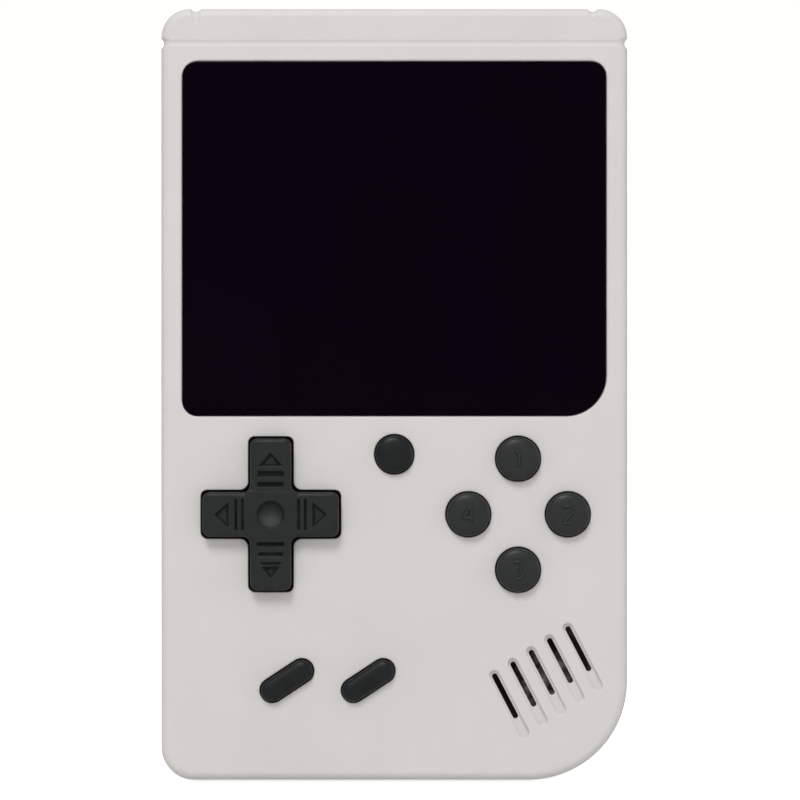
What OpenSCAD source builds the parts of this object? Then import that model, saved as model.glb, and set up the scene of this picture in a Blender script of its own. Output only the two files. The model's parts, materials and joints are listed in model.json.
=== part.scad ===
// Handheld game console, upright: +Z to the top edge, the screen faces -Y, +X to the player's right.
// Every piece is drawn on the bench first: the console lies on its back, x to the right, y towards
// the top edge, z out of the screen, z = 0 on the back. upright() then stands it on its bottom edge.

/* [Body] */
// Width of the body
body_w = 70; // [68:0.5:80]
// Height of the body
body_h = 115.8; // [114:0.2:130]
// Depth of the body, without the buttons
body_d = 20; // [19:0.5:24]
// Thickness of both shells
wall = 1.8; // [1.4:0.1:2.2]
// Radius of both top corners
top_corner_r = 4.3; // [4:0.1:8]
// Radius of the bottom left corner
left_corner_r = 4.9; // [4:0.1:8]
// Radius of the large bottom right corner
right_corner_r = 14.7; // [8:0.1:18]
// Rounding of the front edge
front_round = 1.3; // [0.6:0.1:2]
// Rounding of the rear edge
rear_round = 3; // [1:0.1:3.5]
// Depth of the rear shell, from the back to the seam
seam_z = 10; // [9:0.1:10.6]
// Chamfer on each side of the seam
seam_chamfer = 0.25; // [0.1:0.05:0.4]

/* [Top band] */
// Distance of the cross groove from the top edge
band_h = 5.2; // [4:0.1:6.5]
// Distance of the two short grooves from the sides
band_groove_inset = 5.2; // [4.5:0.1:10]
// Width of the grooves at the edges
groove_w = 1.6; // [1:0.1:2.2]
// Depth of the grooves at the edges
groove_d = 0.4; // [0.2:0.05:0.6]
// Depth of the grooves on the front face
face_groove_d = 0.15; // [0.1:0.05:0.2]

/* [Screen] */
// Distance of the lens from the sides
lens_side = 3.25; // [2.8:0.05:4]
// Distance of the lens from the top edge
lens_top = 8; // [7.4:0.1:9]
// Height of the lens's lower edge above the bottom edge
lens_low = 54.7; // [54.3:0.1:57]
// Thickness of the lens
lens_t = 0.9; // [0.7:0.05:1]
// Small corner radius of the lens
lens_r = 2.2; // [1:0.1:4]
// Radius of the lens corner above the face buttons
lens_right_r = 6; // [3:0.1:8]
// Rim of the lens on each side of the window behind it
window_side = 1.05; // [0.8:0.05:2]
// Rim of the lens above and below the window
window_rim = 3.55; // [3:0.05:5]
// Distance of the display module from the sides of the body
lcd_side = 3; // [2.6:0.1:4]
// Rim of the lens above and below the display module
lcd_rim = 0.85; // [0.6:0.05:1.5]
// Thickness of the display glass
lcd_glass_t = 1.2; // [1:0.1:1.4]
// Thickness of the display's backlight
lcd_light_t = 1.3; // [1:0.1:1.5]

/* [D-pad] */
// Distance of the D-pad's middle from the left side
dpad_side = 16.5; // [16:0.1:17]
// Distance of the D-pad and the face buttons below the lens
controls_drop = 14.8; // [14.5:0.1:16]
// Width of the D-pad
dpad_w = 20.4; // [19:0.1:22]
// Height of the D-pad
dpad_h = 22.7; // [20:0.1:23.6]
// Width of the upright arms
dpad_arm_w = 6.15; // [5.6:0.05:7.5]
// Height of the side arms
dpad_arm_h = 6.65; // [6:0.05:8]
// How far the D-pad stands out of the front
dpad_proud = 2.2; // [1.8:0.1:3]
// Gap round the D-pad
dpad_gap = 0.32; // [0.3:0.01:0.6]
// Radius of the pivot ball
pivot_r = 2.2; // [1.8:0.1:2.4]

/* [Buttons] */
// Distance of the middle of the face buttons from the right side
face_side = 16.43; // [16:0.01:17]
// Half the distance between the left and right face buttons
face_spread_x = 7.46; // [7:0.01:8]
// Half the distance between the upper and lower face buttons
face_spread_y = 8.33; // [7.5:0.01:8.8]
// Diameter of the face buttons
face_d = 6.5; // [6:0.1:7.6]
// How far the face buttons stand out of the front
face_proud = 1.6; // [1.4:0.1:2]
// Travel of the face buttons
face_travel = 1.2; // [0.8:0.1:1.2]
// Diameter of the reset button
reset_d = 5.65; // [5:0.05:6.6]
// Distance of the reset button below the lens
reset_drop = 5.8; // [5.6:0.1:7]
// How far the reset and pill buttons stand out of the front
small_proud = 1.3; // [1.1:0.1:1.8]
// Travel of the reset and pill buttons
small_travel = 1; // [0.6:0.1:1]
// Gap round every button
button_gap = 0.2; // [0.12:0.01:0.3]
// Length of the pill buttons
pill_l = 8.7; // [8:0.1:9.6]
// Width of the pill buttons
pill_w = 3.35; // [3.2:0.05:4.4]
// Slant of the pill buttons
pill_slant = 33.5; // [20:0.5:45]
// Height of the pill buttons above the bottom edge
pill_y = 14.95; // [13:0.05:16]
// Middle of the left pill, to the left of the middle line
left_pill_x = 16.1; // [15.5:0.1:18]
// Middle of the right pill, to the left of the middle line
right_pill_x = 3.9; // [2:0.1:4.5]

/* [Speaker] */
// Diameter of the loudspeaker
speaker_d = 18; // [16:0.5:18.5]
// Distance of the loudspeaker from the right edge
speaker_edge = 13.6; // [13.2:0.1:16]
// Height of the loudspeaker above the bottom edge
speaker_y = 15.8; // [14:0.1:16.5]
// Number of slots
slot_n = 5; // [3:1:6]
// Length of the open slot
slot_l = 7.55; // [5:0.1:8]
// Width of the open slot
slot_w = 0.85; // [0.6:0.05:1.2]
// Slant of the slots
slot_slant = -62.6; // [-75:0.1:-50]
// Step from one slot to the next, to the right
slot_step_x = 2.75; // [2.4:0.05:3]
// Step from one slot to the next, upwards
slot_step_y = 1.77; // [1.4:0.01:2]

/* [Battery] */
// Length of the battery
battery_l = 53; // [48:0.5:54]
// Width of the battery
battery_w = 34; // [30:0.5:36]
// Room between the battery bay and the heads of the board's screws: more room, thinner battery
head_room = 1.2; // [0.8:0.1:3]
// Thickness of the battery door
door_t = 1.5; // [1.2:0.1:1.6]

/* [Sides] */
// Distance of the volume wheel and power slider below the top edge
side_drop = 23.6; // [20:0.1:30]
// Radius of the volume wheel
wheel_r = 7.5; // [6.5:0.1:8]
// Thickness of the volume wheel
wheel_t = 2.2; // [1.8:0.1:2.4]
// Travel of the power slider
slider_travel = 2.5; // [1.5:0.1:3]
// Distance of the audio socket to the left of the middle line
jack_x = 9; // [6:0.1:11]
// Radius of the audio socket's bore
jack_bore_r = 1.8; // [1.76:0.01:1.85]
// Distance of the charging socket to the right of the middle line
usb_x = 9; // [6:0.1:11]

/* [Fasteners] */
// Shank radius of the case screws
screw_r = 1; // [0.8:0.05:1.1]
// Distance of the case screws from the sides
screw_inset = 5.4; // [5:0.1:6]
// Distance of the upper case screws from the top edge
screw_top = 5.6; // [5.2:0.1:5.7]
// Height of the lower case screws above the bottom edge
screw_low = 27; // [26.5:0.1:27.5]

/* [Hidden] */
$fn = 96;
eps = 0.01;
// Reach of a cutter past what it cuts, and of one that cuts right through
over = 1;
through = 30;

// Clearances
touch_gap = 0.1;
slip_gap = 0.2;
loose_gap = 0.3;
lens_gap = 0.12;

// Edges and grooves of the shells
rim_land = 0.4;
short_groove_run = 0.6;
groove_r = (groove_w * groove_w / 4 + groove_d * groove_d) / (2 * groove_d);
groove_sink = groove_d - face_groove_d;
band_groove_x = body_w / 2 - band_groove_inset;

// Heights in the stack, from the screen down to the back
total_d = body_d + dpad_proud;
front_in = body_d - wall;
tape_t = 0.15;
lens_sink = 0.05;
lens_floor = body_d - lens_sink - lens_t - tape_t;
lcd_top = front_in - touch_gap;
lcd_glass_z = lcd_top - lcd_glass_t;
lcd_back = lcd_glass_z - lcd_light_t;
board_drop = 5.8;
board_t = 1.2;
board_top = front_in - board_drop;
board_back = board_top - board_t;
mat_t = 0.8;
dome_rubber = 1.7;
dome_h = dome_rubber + face_travel;
small_dome_rubber = 1.9;
small_dome_h = small_dome_rubber + small_travel;

// The screen takes what the body's width and height leave
lens_w = body_w - 2 * lens_side;
lens_h = body_h - lens_top - lens_low;
lens_mid_y = lens_low + lens_h / 2;
window_w = lens_w - 2 * window_side;
window_h = lens_h - 2 * window_rim;
lcd_w = body_w - 2 * lcd_side;
lcd_h = lens_h - 2 * lcd_rim;
lcd_shift = 0.3;
lcd_y0 = lens_mid_y - lcd_h / 2 - lcd_shift;
foam_w = 4;
foam_side = 6;
foam_inset = 8;

// Places on the front
controls_y = lens_low - controls_drop;
reset_y = lens_low - reset_drop;
band_y = body_h - band_h;
dpad_x = body_w / 2 - dpad_side;
face_x = body_w / 2 - face_side;
speaker_x = body_w / 2 - speaker_edge;
face_points = [
    [face_x, controls_y + face_spread_y],
    [face_x + face_spread_x, controls_y],
    [face_x, controls_y - face_spread_y],
    [face_x - face_spread_x, controls_y]];
pill_points = [[-left_pill_x, pill_y], [-right_pill_x, pill_y]];

// Button collars and the soft domes under the buttons
collar_t = 1;
collar_over = 1.1;
foot_chamfer = 0.1;
collar_top = front_in - touch_gap;
button_round = 0.9;
small_round = 0.8;
dome_r = 2.6;
dome_tip_r = 2;
small_dome_r = 2.1;
small_dome_tip_r = 1.5;
face_mat_r = 13;
reset_mat_r = 3.8;
menu_mat_h = 9;
menu_mat_over = 12.4;

// D-pad
dpad_corner_r = 1.1;
dpad_fillet_r = 1.1;
// The hole's corners are sharper and its inner corners rounder, to clear a diagonal press
dpad_hole_corner_r = dpad_corner_r - dpad_gap / 2;
dpad_hole_fillet_r = dpad_fillet_r + dpad_gap / 2;
dpad_edge = 0.6;
dpad_foot_over = 1.1;
dpad_foot_t = 1.1;
dpad_foot_gap = 1.4;
dpad_foot_top = front_in - dpad_foot_gap;
dpad_foot_z = dpad_foot_top - dpad_foot_t;
pivot_z = board_top + touch_gap + pivot_r;
socket_gap = 0.12;
socket_wall = 1.3;
socket_drop = 0.9;
dpad_dome_h = dpad_foot_z - board_top - slip_gap;
dpad_dome_side = 2.8;
dpad_dome_end = 3.2;
dpad_mat_r = 12;
dpad_mat_gap = 0.6;

// Recessed marks on the D-pad, placed from the tip of each arm
dimple_r = 2.05;
dimple_d = 0.9;
mark_d = 0.4;
side_grooves = [6.1, 5.0];
end_grooves = [6.8, 5.25];
side_groove_w = 0.45;
side_groove_l = 4.8;
end_groove_w = 0.9;
end_groove_l = 3.8;
arrow_base = 3.75;
arrow_tip = 2;
arrow_half = 1.6;

// Screws and their bosses
boss_r = 2.4;
tower_r = 3.2;
screw_head_r = 2.1;
screw_head_t = 1.3;
screw_seat_z = 4.2;
screw_bite = 6;
pilot_room = 0.5;
thread_gap = 0.02;
recess_l = 1.3;
recess_w = 0.3;
board_screw_r = 0.8;
board_screw_head_r = 1.7;
board_screw_head_t = 1.1;
board_screw_bite = 3.6;
post_r = 2.1;
case_screw_points = [
    [-body_w / 2 + screw_inset, body_h - screw_top],
    [body_w / 2 - screw_inset, body_h - screw_top],
    [-body_w / 2 + screw_inset, screw_low],
    [body_w / 2 - screw_inset, screw_low]];
board_screw_inset = 17;
low_screw_inset = 6.7;
low_screw_y = 9;
speaker_screw_gap = 12.8;
mid_screw_drop = 4;
board_screw_points = [
    [-body_w / 2 + board_screw_inset, body_h - screw_top],
    [body_w / 2 - board_screw_inset, body_h - screw_top],
    [-body_w / 2 + low_screw_inset, low_screw_y],
    [speaker_x - speaker_screw_gap, low_screw_y],
    [0, controls_y - mid_screw_drop]];

// Board and its chips
board_inset = 1;
blob_r = 7;
blob_h = 1.4;
blob_x = 10;
chip_x = 6;
chip_w = 18;
chip_h = 12;
chip_t = 1.1;

// Speaker
speaker_stand = 0.5;
speaker_z = board_top + speaker_stand;
magnet_t = 1.5;
magnet_r = 5;
gasket_t = 0.4;
gasket_w = 1.2;
speaker_face = front_in - gasket_t;
frame_wall = 0.8;
cone_t = 0.3;
cone_gap = 0.05;
cone_sink = 0.5;
cap_r = 3.3;
ring_wall = 1;
ring_drop = 3.4;
slot_recess_w = 1.4;
slot_recess_d = 0.4;
slot_recess_up = 0.45;
slot_recess_down = 3.1;
slot_edge = 12.86;
slot_mid_x = body_w / 2 - slot_edge;
slot_mid_y = 16.15;

// Battery bay; the battery's thickness is what the body's depth leaves
bay_gap = 0.4;
bay_wall = 2;
bay_floor_t = 1.2;
bay_top = board_back - board_screw_head_t - head_room;
battery_t = bay_top - bay_floor_t - door_t - 2 * loose_gap;
battery_corner_r = 1.2;
contact_room = 2.2;
bay_w = battery_w + 2 * bay_gap;
bay_l = battery_l + bay_gap + contact_room;
bay_y0 = 11;
bay_y1 = bay_y0 + bay_l;
bay_floor_z = door_t + loose_gap + battery_t + loose_gap;
door_lap = 0.9;
door_gap = 0.25;
door_hinge_y = bay_y1 + door_lap + door_gap;
hook_x = 12;
hook_w = 6;
hook_t = 1;
hook_reach = 1.8;
hook_root = 1.6;
hook_riser_t = 1.3;
hook_gap = 0.15;
notch_r = 6;
notch_depth = 0.7;
grip_n = 4;
grip_start = 2;
grip_step = 1.6;
grip_w = 0.8;
grip_d = 0.35;
contact_w = 14;
contact_n = 3;
contact_y = bay_y0 + bay_gap + battery_l;
block_gap = 0.7;
block_t = 1.35;
block_lift = 1.4;
blade_w = 1.2;
blade_t = 0.6;
blade_l = 3;
blade_lift = 1.8;

// Sides and sockets
side_y = body_h - side_drop;
side_drop_z = 3.9;
side_z = board_back - side_drop_z;
scoop_r = 14;
scoop_d = 1.6;
scoop_t = 4.6;
pad_t = 1.4;
pad_l = 16;
pad_sink = 0.4;
wheel_x = -body_w / 2 + touch_gap + wheel_r;
wheel_ridges = 36;
ridge_r = 0.4;
ridge_out = 0.15;
shaft_r = 1.5;
shaft_gap = 0.06;
shaft_l = 1.5;
pot_w = 8;
pot_gap = 0.4;
pot_z = side_z + wheel_t / 2 + pot_gap;
slider_l = 5;
slider_t = 1.7;
slider_root = 6.2;
slider_tail = 0.7;
slider_ridge_w = 0.5;
slider_ridge_d = 0.3;
slider_ridge_step = 1.2;
switch_w = 2.8;
switch_l = 11;
switch_back = 2;
switch_wall = 1;
jack_w = 6.4;
jack_l = 12;
jack_nose_r = 2.4;
jack_half_t = 2.7;
jack_drop_z = 3.6;
jack_z = board_back - jack_drop_z;
jack_depth = 14;
usb_w = 7.6;
usb_t = 2.8;
usb_l = 5.6;
usb_wall = 0.3;
usb_back_t = 0.8;
tongue_side = 1.5;
tongue_t = 0.6;
tongue_sink = 0.8;
usb_z = board_back - usb_t / 2;
port_sink = 0.3;

// Colours
shell_colour = [0.82, 0.82, 0.80];
key_colour = [0.19, 0.2, 0.2];
rubber_colour = [0.35, 0.36, 0.38];
metal_colour = [0.75, 0.75, 0.76];
gold_colour = [0.85, 0.68, 0.32];
board_colour = [0.1, 0.35, 0.2];
black_colour = [0.06, 0.05, 0.07];

// Stands a piece that was drawn on the bench on its bottom edge
module upright() {
    translate([0, total_d / 2, 0]) rotate([90, 0, 0]) children();
}

// Quarter of a disc in the first quadrant, turned about its centre
module quarter_disc(r, turn) {
    rotate(turn) intersection() {
        circle(r);
        square(r);
    }
}

// Rectangle on the x axis, centred in x, with a radius for each corner:
// bottom left, bottom right, top right, top left
module rounded_rect(w, h, r) {
    polygon([
        [-w / 2 + r[0], 0], [w / 2 - r[1], 0],
        [w / 2 - r[1], r[1]], [w / 2, r[1]],
        [w / 2, h - r[2]], [w / 2 - r[2], h - r[2]],
        [w / 2 - r[2], h], [-w / 2 + r[3], h],
        [-w / 2 + r[3], h - r[3]], [-w / 2, h - r[3]],
        [-w / 2, r[0]], [-w / 2 + r[0], r[0]]]);
    translate([-w / 2 + r[0], r[0]]) quarter_disc(r[0], 180);
    translate([w / 2 - r[1], r[1]]) quarter_disc(r[1], 270);
    translate([w / 2 - r[2], h - r[2]]) quarter_disc(r[2], 0);
    translate([-w / 2 + r[3], h - r[3]]) quarter_disc(r[3], 90);
}

// Outline of the body, drawn in by a distance
module body_outline(inset) {
    r = [left_corner_r, right_corner_r, top_corner_r, top_corner_r];
    translate([0, inset])
        rounded_rect(body_w - 2 * inset, body_h - 2 * inset, [for (one = r) one - inset]);
}

// Outline of the lens, grown by a distance
module lens_outline(grow) {
    r = [lens_r, lens_right_r, lens_r, lens_r];
    translate([0, lens_low - grow])
        rounded_rect(lens_w + 2 * grow, lens_h + 2 * grow, [for (one = r) one + grow]);
}

// Flat bar with round ends, along x
module stadium(l, w) {
    square([l - w, w], center = true);
    translate([(l - w) / 2, 0]) half_disc(w / 2, -90);
    translate([-(l - w) / 2, 0]) half_disc(w / 2, 90);
}

// Half of a disc, turned about its centre
module half_disc(r, turn) {
    rotate(turn) intersection() {
        circle(r);
        translate([-r, 0]) square([2 * r, r]);
    }
}

// Section of a moulded edge: out to x = r and up to h, rounded above and chamfered below
module edge_profile(r, h, edge_r, chamfer) {
    polygon([[0, 0], [r - chamfer, 0], [r, chamfer], [r, h - edge_r], [0, h - edge_r]]);
    translate([0, h - edge_r]) square([r - edge_r, edge_r]);
    translate([r - edge_r, h - edge_r]) quarter_disc(edge_r, 0);
}

// Straight moulded edge that starts at a point, faces outwards along an angle and runs to its left
module edge_bar(start, facing, length, r, h, edge_r, chamfer) {
    translate([start[0], start[1], 0]) rotate([0, 0, facing]) rotate([90, 0, 0])
        linear_extrude(length) edge_profile(r, h, edge_r, chamfer);
}

// Solid block with the body's outline and one rounded edge, from the seam at z = 0 up to h
module shell_block(h, edge_r) {
    rim = edge_r + rim_land;
    bl = left_corner_r;
    br = right_corner_r;
    tc = top_corner_r;
    x1 = body_w / 2;
    linear_extrude(h) polygon([
        [-x1 + bl, rim], [x1 - br, rim],
        [x1 - br, br], [x1 - rim, br],
        [x1 - rim, body_h - tc], [x1 - tc, body_h - tc],
        [x1 - tc, body_h - rim], [-x1 + tc, body_h - rim],
        [-x1 + tc, body_h - tc], [-x1 + rim, body_h - tc],
        [-x1 + rim, bl], [-x1 + bl, bl]]);
    edge_bar([x1 - rim, body_h - tc], 0, body_h - tc - br, rim, h, edge_r, seam_chamfer);
    edge_bar([-x1 + tc, body_h - rim], 90, body_w - 2 * tc, rim, h, edge_r, seam_chamfer);
    edge_bar([-x1 + rim, bl], 180, body_h - bl - tc, rim, h, edge_r, seam_chamfer);
    edge_bar([x1 - br, rim], 270, body_w - bl - br, rim, h, edge_r, seam_chamfer);
    shell_corner([x1 - tc, body_h - tc], 0, tc, h, edge_r);
    shell_corner([-x1 + tc, body_h - tc], 90, tc, h, edge_r);
    shell_corner([-x1 + bl, bl], 180, bl, h, edge_r);
    shell_corner([x1 - br, br], 270, br, h, edge_r);
}

module shell_corner(centre, turn, r, h, edge_r) {
    translate([centre[0], centre[1], 0]) rotate([0, 0, turn])
        rotate_extrude(angle = 90) edge_profile(r, h, edge_r, seam_chamfer);
}

// Cutter for a round groove that follows the front face, the rounded edge and the side,
// drawn at x = 0 with the edge at a distance along y
module groove_over_edge(from, edge) {
    lift = groove_r - face_groove_d;
    translate([0, from, body_d + lift]) rotate([-90, 0, 0])
        cylinder(r = groove_r, h = edge - front_round - from);
    translate([0, edge - front_round, body_d - front_round]) rotate([90, 0, 90])
        rotate_extrude(angle = 90) translate([front_round + lift, 0]) circle(groove_r);
    translate([0, edge + lift, -over])
        cylinder(r = groove_r, h = body_d - front_round + over);
}

// Grooves that set off the band along the top edge
module band_grooves() {
    for (turn = [-90, 90])
        translate([0, band_y, 0]) rotate([0, 0, turn]) groove_over_edge(-eps, body_w / 2 - groove_sink);
    start = body_h - front_round - short_groove_run;
    for (x = [-band_groove_x, band_groove_x]) {
        translate([x, 0, 0]) groove_over_edge(start, body_h - groove_sink);
        translate([x, start, body_d + groove_r - face_groove_d]) sphere(groove_r);
    }
}

// Finger scoops beside the volume wheel and the power slider
module side_scoops() {
    for (side = [-1, 1])
        translate([side * (body_w / 2 - scoop_d + scoop_r), side_y, side_z])
            cylinder(r = scoop_r, h = scoop_t, center = true);
}

// Openings for the two sockets on the top edge
module port_cuts() {
    y0 = body_h - wall - over;
    translate([-jack_x, y0, jack_z]) rotate([-90, 0, 0])
        cylinder(r = jack_nose_r + slip_gap, h = wall + 2 * over);
    translate([usb_x - usb_w / 2 - slip_gap, y0, usb_z - usb_t / 2 - slip_gap])
        cube([usb_w + 2 * slip_gap, wall + 2 * over, usb_t + 2 * slip_gap]);
}

// Opening and its recess for one speaker slot, drawn along x
module slot_cut() {
    up = slot_recess_up;
    down = slot_recess_down;
    translate([0, 0, front_in - over]) linear_extrude(wall + 2 * over) stadium(slot_l, slot_w);
    translate([(down - up) / 2, 0, body_d - slot_recess_d])
        linear_extrude(over) stadium(slot_l + up + down, slot_recess_w);
}

module speaker_slots() {
    for (i = [0 : slot_n - 1]) {
        step = i - (slot_n - 1) / 2;
        translate([slot_mid_x + step * slot_step_x, slot_mid_y + step * slot_step_y, 0])
            rotate([0, 0, slot_slant]) slot_cut();
    }
}

// Cross of the D-pad, grown by a distance, with a radius on its corners and one in its inner corners
module dpad_outline(grow, r, fillet) {
    w = dpad_w + 2 * grow;
    h = dpad_h + 2 * grow;
    arm_w = dpad_arm_w + 2 * grow;
    arm_h = dpad_arm_h + 2 * grow;
    translate([0, -h / 2]) rounded_rect(arm_w, h, [r, r, r, r]);
    translate([0, -arm_h / 2]) rounded_rect(w, arm_h, [r, r, r, r]);
    for (sx = [0, 1], sy = [0, 1])
        mirror([sx, 0]) mirror([0, sy]) translate([arm_w / 2, arm_h / 2]) difference() {
            square(fillet);
            translate([fillet, fillet]) circle(fillet);
        }
}

// One bar of the D-pad, w wide and l long, with its upper edges rounded all round
module dpad_bar(w, l, h) {
    r = dpad_corner_r;
    intersection() {
        translate([0, -l / 2, 0]) linear_extrude(h) rounded_rect(w, l, [r, r, r, r]);
        translate([0, l, 0]) rotate([90, 0, 0]) linear_extrude(2 * l) rounded_top(w, h);
        translate([-w, 0, 0]) rotate([90, 0, 90]) linear_extrude(2 * w) rounded_top(l, h);
    }
}

// Upright rectangle with its two upper corners rounded
module rounded_top(w, h) {
    for (side = [0, 1])
        mirror([side, 0]) edge_profile(w / 2, h, dpad_edge, eps);
}

// Recessed marks on the D-pad: a dimple, grooves across each arm and plain arrow heads
module dpad_marks() {
    ball_r = (dimple_r * dimple_r + dimple_d * dimple_d) / (2 * dimple_d);
    translate([0, 0, total_d + ball_r - dimple_d]) sphere(ball_r);
    for (turn = [0, 180])
        rotate([0, 0, turn]) translate([0, 0, total_d - mark_d])
            arm_mark(dpad_w / 2, side_grooves, side_groove_w, side_groove_l);
    for (turn = [90, 270])
        rotate([0, 0, turn]) translate([0, 0, total_d - mark_d])
            arm_mark(dpad_h / 2, end_grooves, end_groove_w, end_groove_l);
}

// Grooves at distances from the tip, and an arrow head, on an arm along x that ends at a reach
module arm_mark(reach, grooves, groove, across) {
    for (from_tip = grooves)
        translate([reach - from_tip - groove / 2, -across / 2, 0])
            cube([groove, across, over]);
    base = reach - arrow_base;
    linear_extrude(over)
        polygon([[base, -arrow_half], [reach - arrow_tip, 0], [base, arrow_half]]);
}

// Button body: a round stem with a rounded rim, on its collar, over a dome of a height
module round_button(d, proud, rim, dome) {
    foot_z = board_top + dome + touch_gap;
    translate([0, 0, foot_z]) rotate_extrude()
        edge_profile(d / 2, body_d + proud - foot_z, rim, foot_chamfer);
    translate([0, 0, collar_top - collar_t])
        cylinder(r = d / 2 + collar_over, h = collar_t);
}

// Pill-shaped block along x with a rounded upper edge
module pill_block(l, w, h, rim) {
    half = (l - w) / 2;
    edge_bar([-half, 0], 90, 2 * half, w / 2, h, rim, foot_chamfer);
    edge_bar([half, 0], 270, 2 * half, w / 2, h, rim, foot_chamfer);
    for (side = [0, 1])
        rotate([0, 0, 180 * side]) translate([half, 0, 0]) rotate([0, 0, -90])
            rotate_extrude(angle = 180) edge_profile(w / 2, h, rim, foot_chamfer);
}

module pill_button() {
    foot_z = board_top + small_dome_h + touch_gap;
    translate([0, 0, foot_z])
        pill_block(pill_l, pill_w, body_d + small_proud - foot_z, small_round);
    translate([0, 0, collar_top - collar_t]) linear_extrude(collar_t)
        stadium(pill_l + 2 * collar_over, pill_w + 2 * collar_over);
}

// Soft contact dome on a mat
module mat_dome(r, tip_r, h) {
    cylinder(r1 = r, r2 = tip_r, h = h);
}

module front_shell() {
    color(shell_colour) upright() difference() {
        union() {
            difference() {
                translate([0, 0, seam_z]) shell_block(body_d - seam_z, front_round);
                translate([0, 0, seam_z - over])
                    linear_extrude(front_in - seam_z + over) body_outline(wall);
            }
            for (p = case_screw_points)
                translate([p[0], p[1], seam_z])
                    cylinder(r = boss_r, h = front_in - seam_z + loose_gap);
            for (p = board_screw_points)
                translate([p[0], p[1], board_top])
                    cylinder(r = post_r, h = front_in - board_top + loose_gap);
            translate([speaker_x, speaker_y, front_in - ring_drop]) difference() {
                cylinder(r = speaker_d / 2 + touch_gap + ring_wall, h = ring_drop + loose_gap);
                translate([0, 0, -over]) cylinder(r = speaker_d / 2 + touch_gap, h = ring_drop + over);
            }
        }
        translate([0, 0, lens_floor]) linear_extrude(through) lens_outline(lens_gap);
        translate([-window_w / 2, lens_mid_y - window_h / 2, front_in - over])
            cube([window_w, window_h, wall + 2 * over]);
        translate([-dpad_x, controls_y, front_in - over])
            linear_extrude(through) dpad_outline(dpad_gap, dpad_hole_corner_r, dpad_hole_fillet_r);
        for (p = face_points)
            translate([p[0], p[1], front_in - over]) cylinder(r = face_d / 2 + button_gap, h = through);
        translate([0, reset_y, front_in - over]) cylinder(r = reset_d / 2 + button_gap, h = through);
        for (p = pill_points)
            translate([p[0], p[1], front_in - over]) rotate([0, 0, pill_slant])
                linear_extrude(through) stadium(pill_l + 2 * button_gap, pill_w + 2 * button_gap);
        speaker_slots();
        for (p = case_screw_points)
            translate([p[0], p[1], seam_z - over])
                cylinder(r = screw_r + thread_gap, h = screw_bite + pilot_room + over);
        for (p = board_screw_points)
            translate([p[0], p[1], board_top - over])
                cylinder(r = board_screw_r + thread_gap, h = board_screw_bite + pilot_room + over);
        band_grooves();
        side_scoops();
        port_cuts();
    }
}

module rear_shell() {
    bay_x = bay_w / 2 + bay_wall;
    color(shell_colour) upright() difference() {
        union() {
            difference() {
                translate([0, 0, seam_z]) mirror([0, 0, 1]) shell_block(seam_z, rear_round);
                translate([0, 0, wall]) linear_extrude(seam_z) body_outline(wall);
            }
            translate([-bay_x, bay_y0 - bay_wall, wall / 2])
                cube([2 * bay_x, bay_l + 2 * bay_wall, bay_floor_z + bay_floor_t - wall / 2]);
            for (p = case_screw_points)
                translate([p[0], p[1], wall / 2]) cylinder(r = tower_r, h = seam_z - wall / 2);
            for (side = [-1, 1])
                translate([side * (body_w / 2 - wall - pad_t / 2 + pad_sink / 2), side_y, side_z])
                    cube([pad_t + pad_sink, pad_l, scoop_t], center = true);
        }
        battery_bay_cut();
        for (p = case_screw_points) {
            translate([p[0], p[1], -over]) cylinder(r = screw_head_r + slip_gap, h = screw_seat_z + over);
            translate([p[0], p[1], 0]) cylinder(r = screw_r + slip_gap, h = through);
        }
        translate([0, bay_y0 - door_lap - door_gap, -notch_depth])
            cylinder(r = notch_r, h = 2 * notch_depth);
        band_grooves();
        side_scoops();
        port_cuts();
        wheel_slot();
        slider_slot();
    }
}

// Room for the battery, the door, its hooks and the contacts
module battery_bay_cut() {
    lap = door_lap + door_gap;
    slot = hook_w + 2 * loose_gap;
    translate([-bay_w / 2, bay_y0, -over]) cube([bay_w, bay_l, bay_floor_z + over]);
    translate([-bay_w / 2 - lap, bay_y0 - lap, -over])
        cube([bay_w + 2 * lap, bay_l + 2 * lap, door_t + touch_gap + over]);
    for (side = [-1, 1])
        translate([side * hook_x - slot / 2, bay_y1 - over, 0]) {
            translate([0, 0, wall])
                cube([slot, bay_wall + 2 * over, hook_reach + hook_t + wall]);
            translate([0, 0, door_t]) cube([slot, lap + over, wall]);
        }
    translate([-contact_w / 2 - loose_gap, bay_y1 - contact_room, bay_floor_z - over])
        cube([contact_w + 2 * loose_gap, contact_room, bay_floor_t + 2 * over]);
}

module wheel_slot() {
    translate([wheel_x, side_y, side_z])
        cylinder(r = wheel_r + loose_gap, h = wheel_t + 2 * loose_gap, center = true);
}

module slider_slot() {
    y0 = side_y - slider_l / 2 - loose_gap;
    translate([body_w / 2 - slider_root, y0, side_z - slider_t / 2 - slip_gap])
        cube([through, slider_l + slider_travel + 2 * loose_gap, slider_t + 2 * slip_gap]);
}

module battery_door() {
    half_w = bay_w / 2 + door_lap;
    y0 = bay_y0 - door_lap;
    color(shell_colour) upright() {
        difference() {
            translate([-half_w, y0, 0]) cube([2 * half_w, bay_l + 2 * door_lap, door_t]);
            translate([0, y0, -eps]) cylinder(r = notch_r, h = notch_depth + eps);
            for (i = [0 : grip_n - 1])
                translate([-notch_r, y0 + notch_r + grip_start + grip_step * i, -grip_d])
                    cube([2 * notch_r, grip_w, 2 * grip_d]);
        }
        for (side = [-1, 1])
            translate([side * hook_x - hook_w / 2, door_hinge_y - hook_root, 0]) {
                translate([0, 0, door_t / 2])
                    cube([hook_w, hook_riser_t, wall + hook_gap + hook_t - door_t / 2]);
                translate([0, 0, wall + hook_gap])
                    cube([hook_w, hook_root + hook_reach, hook_t]);
            }
    }
}

module screen_lens() {
    color(black_colour) upright()
        translate([0, 0, lens_floor + tape_t]) linear_extrude(lens_t) lens_outline(0);
}

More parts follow.
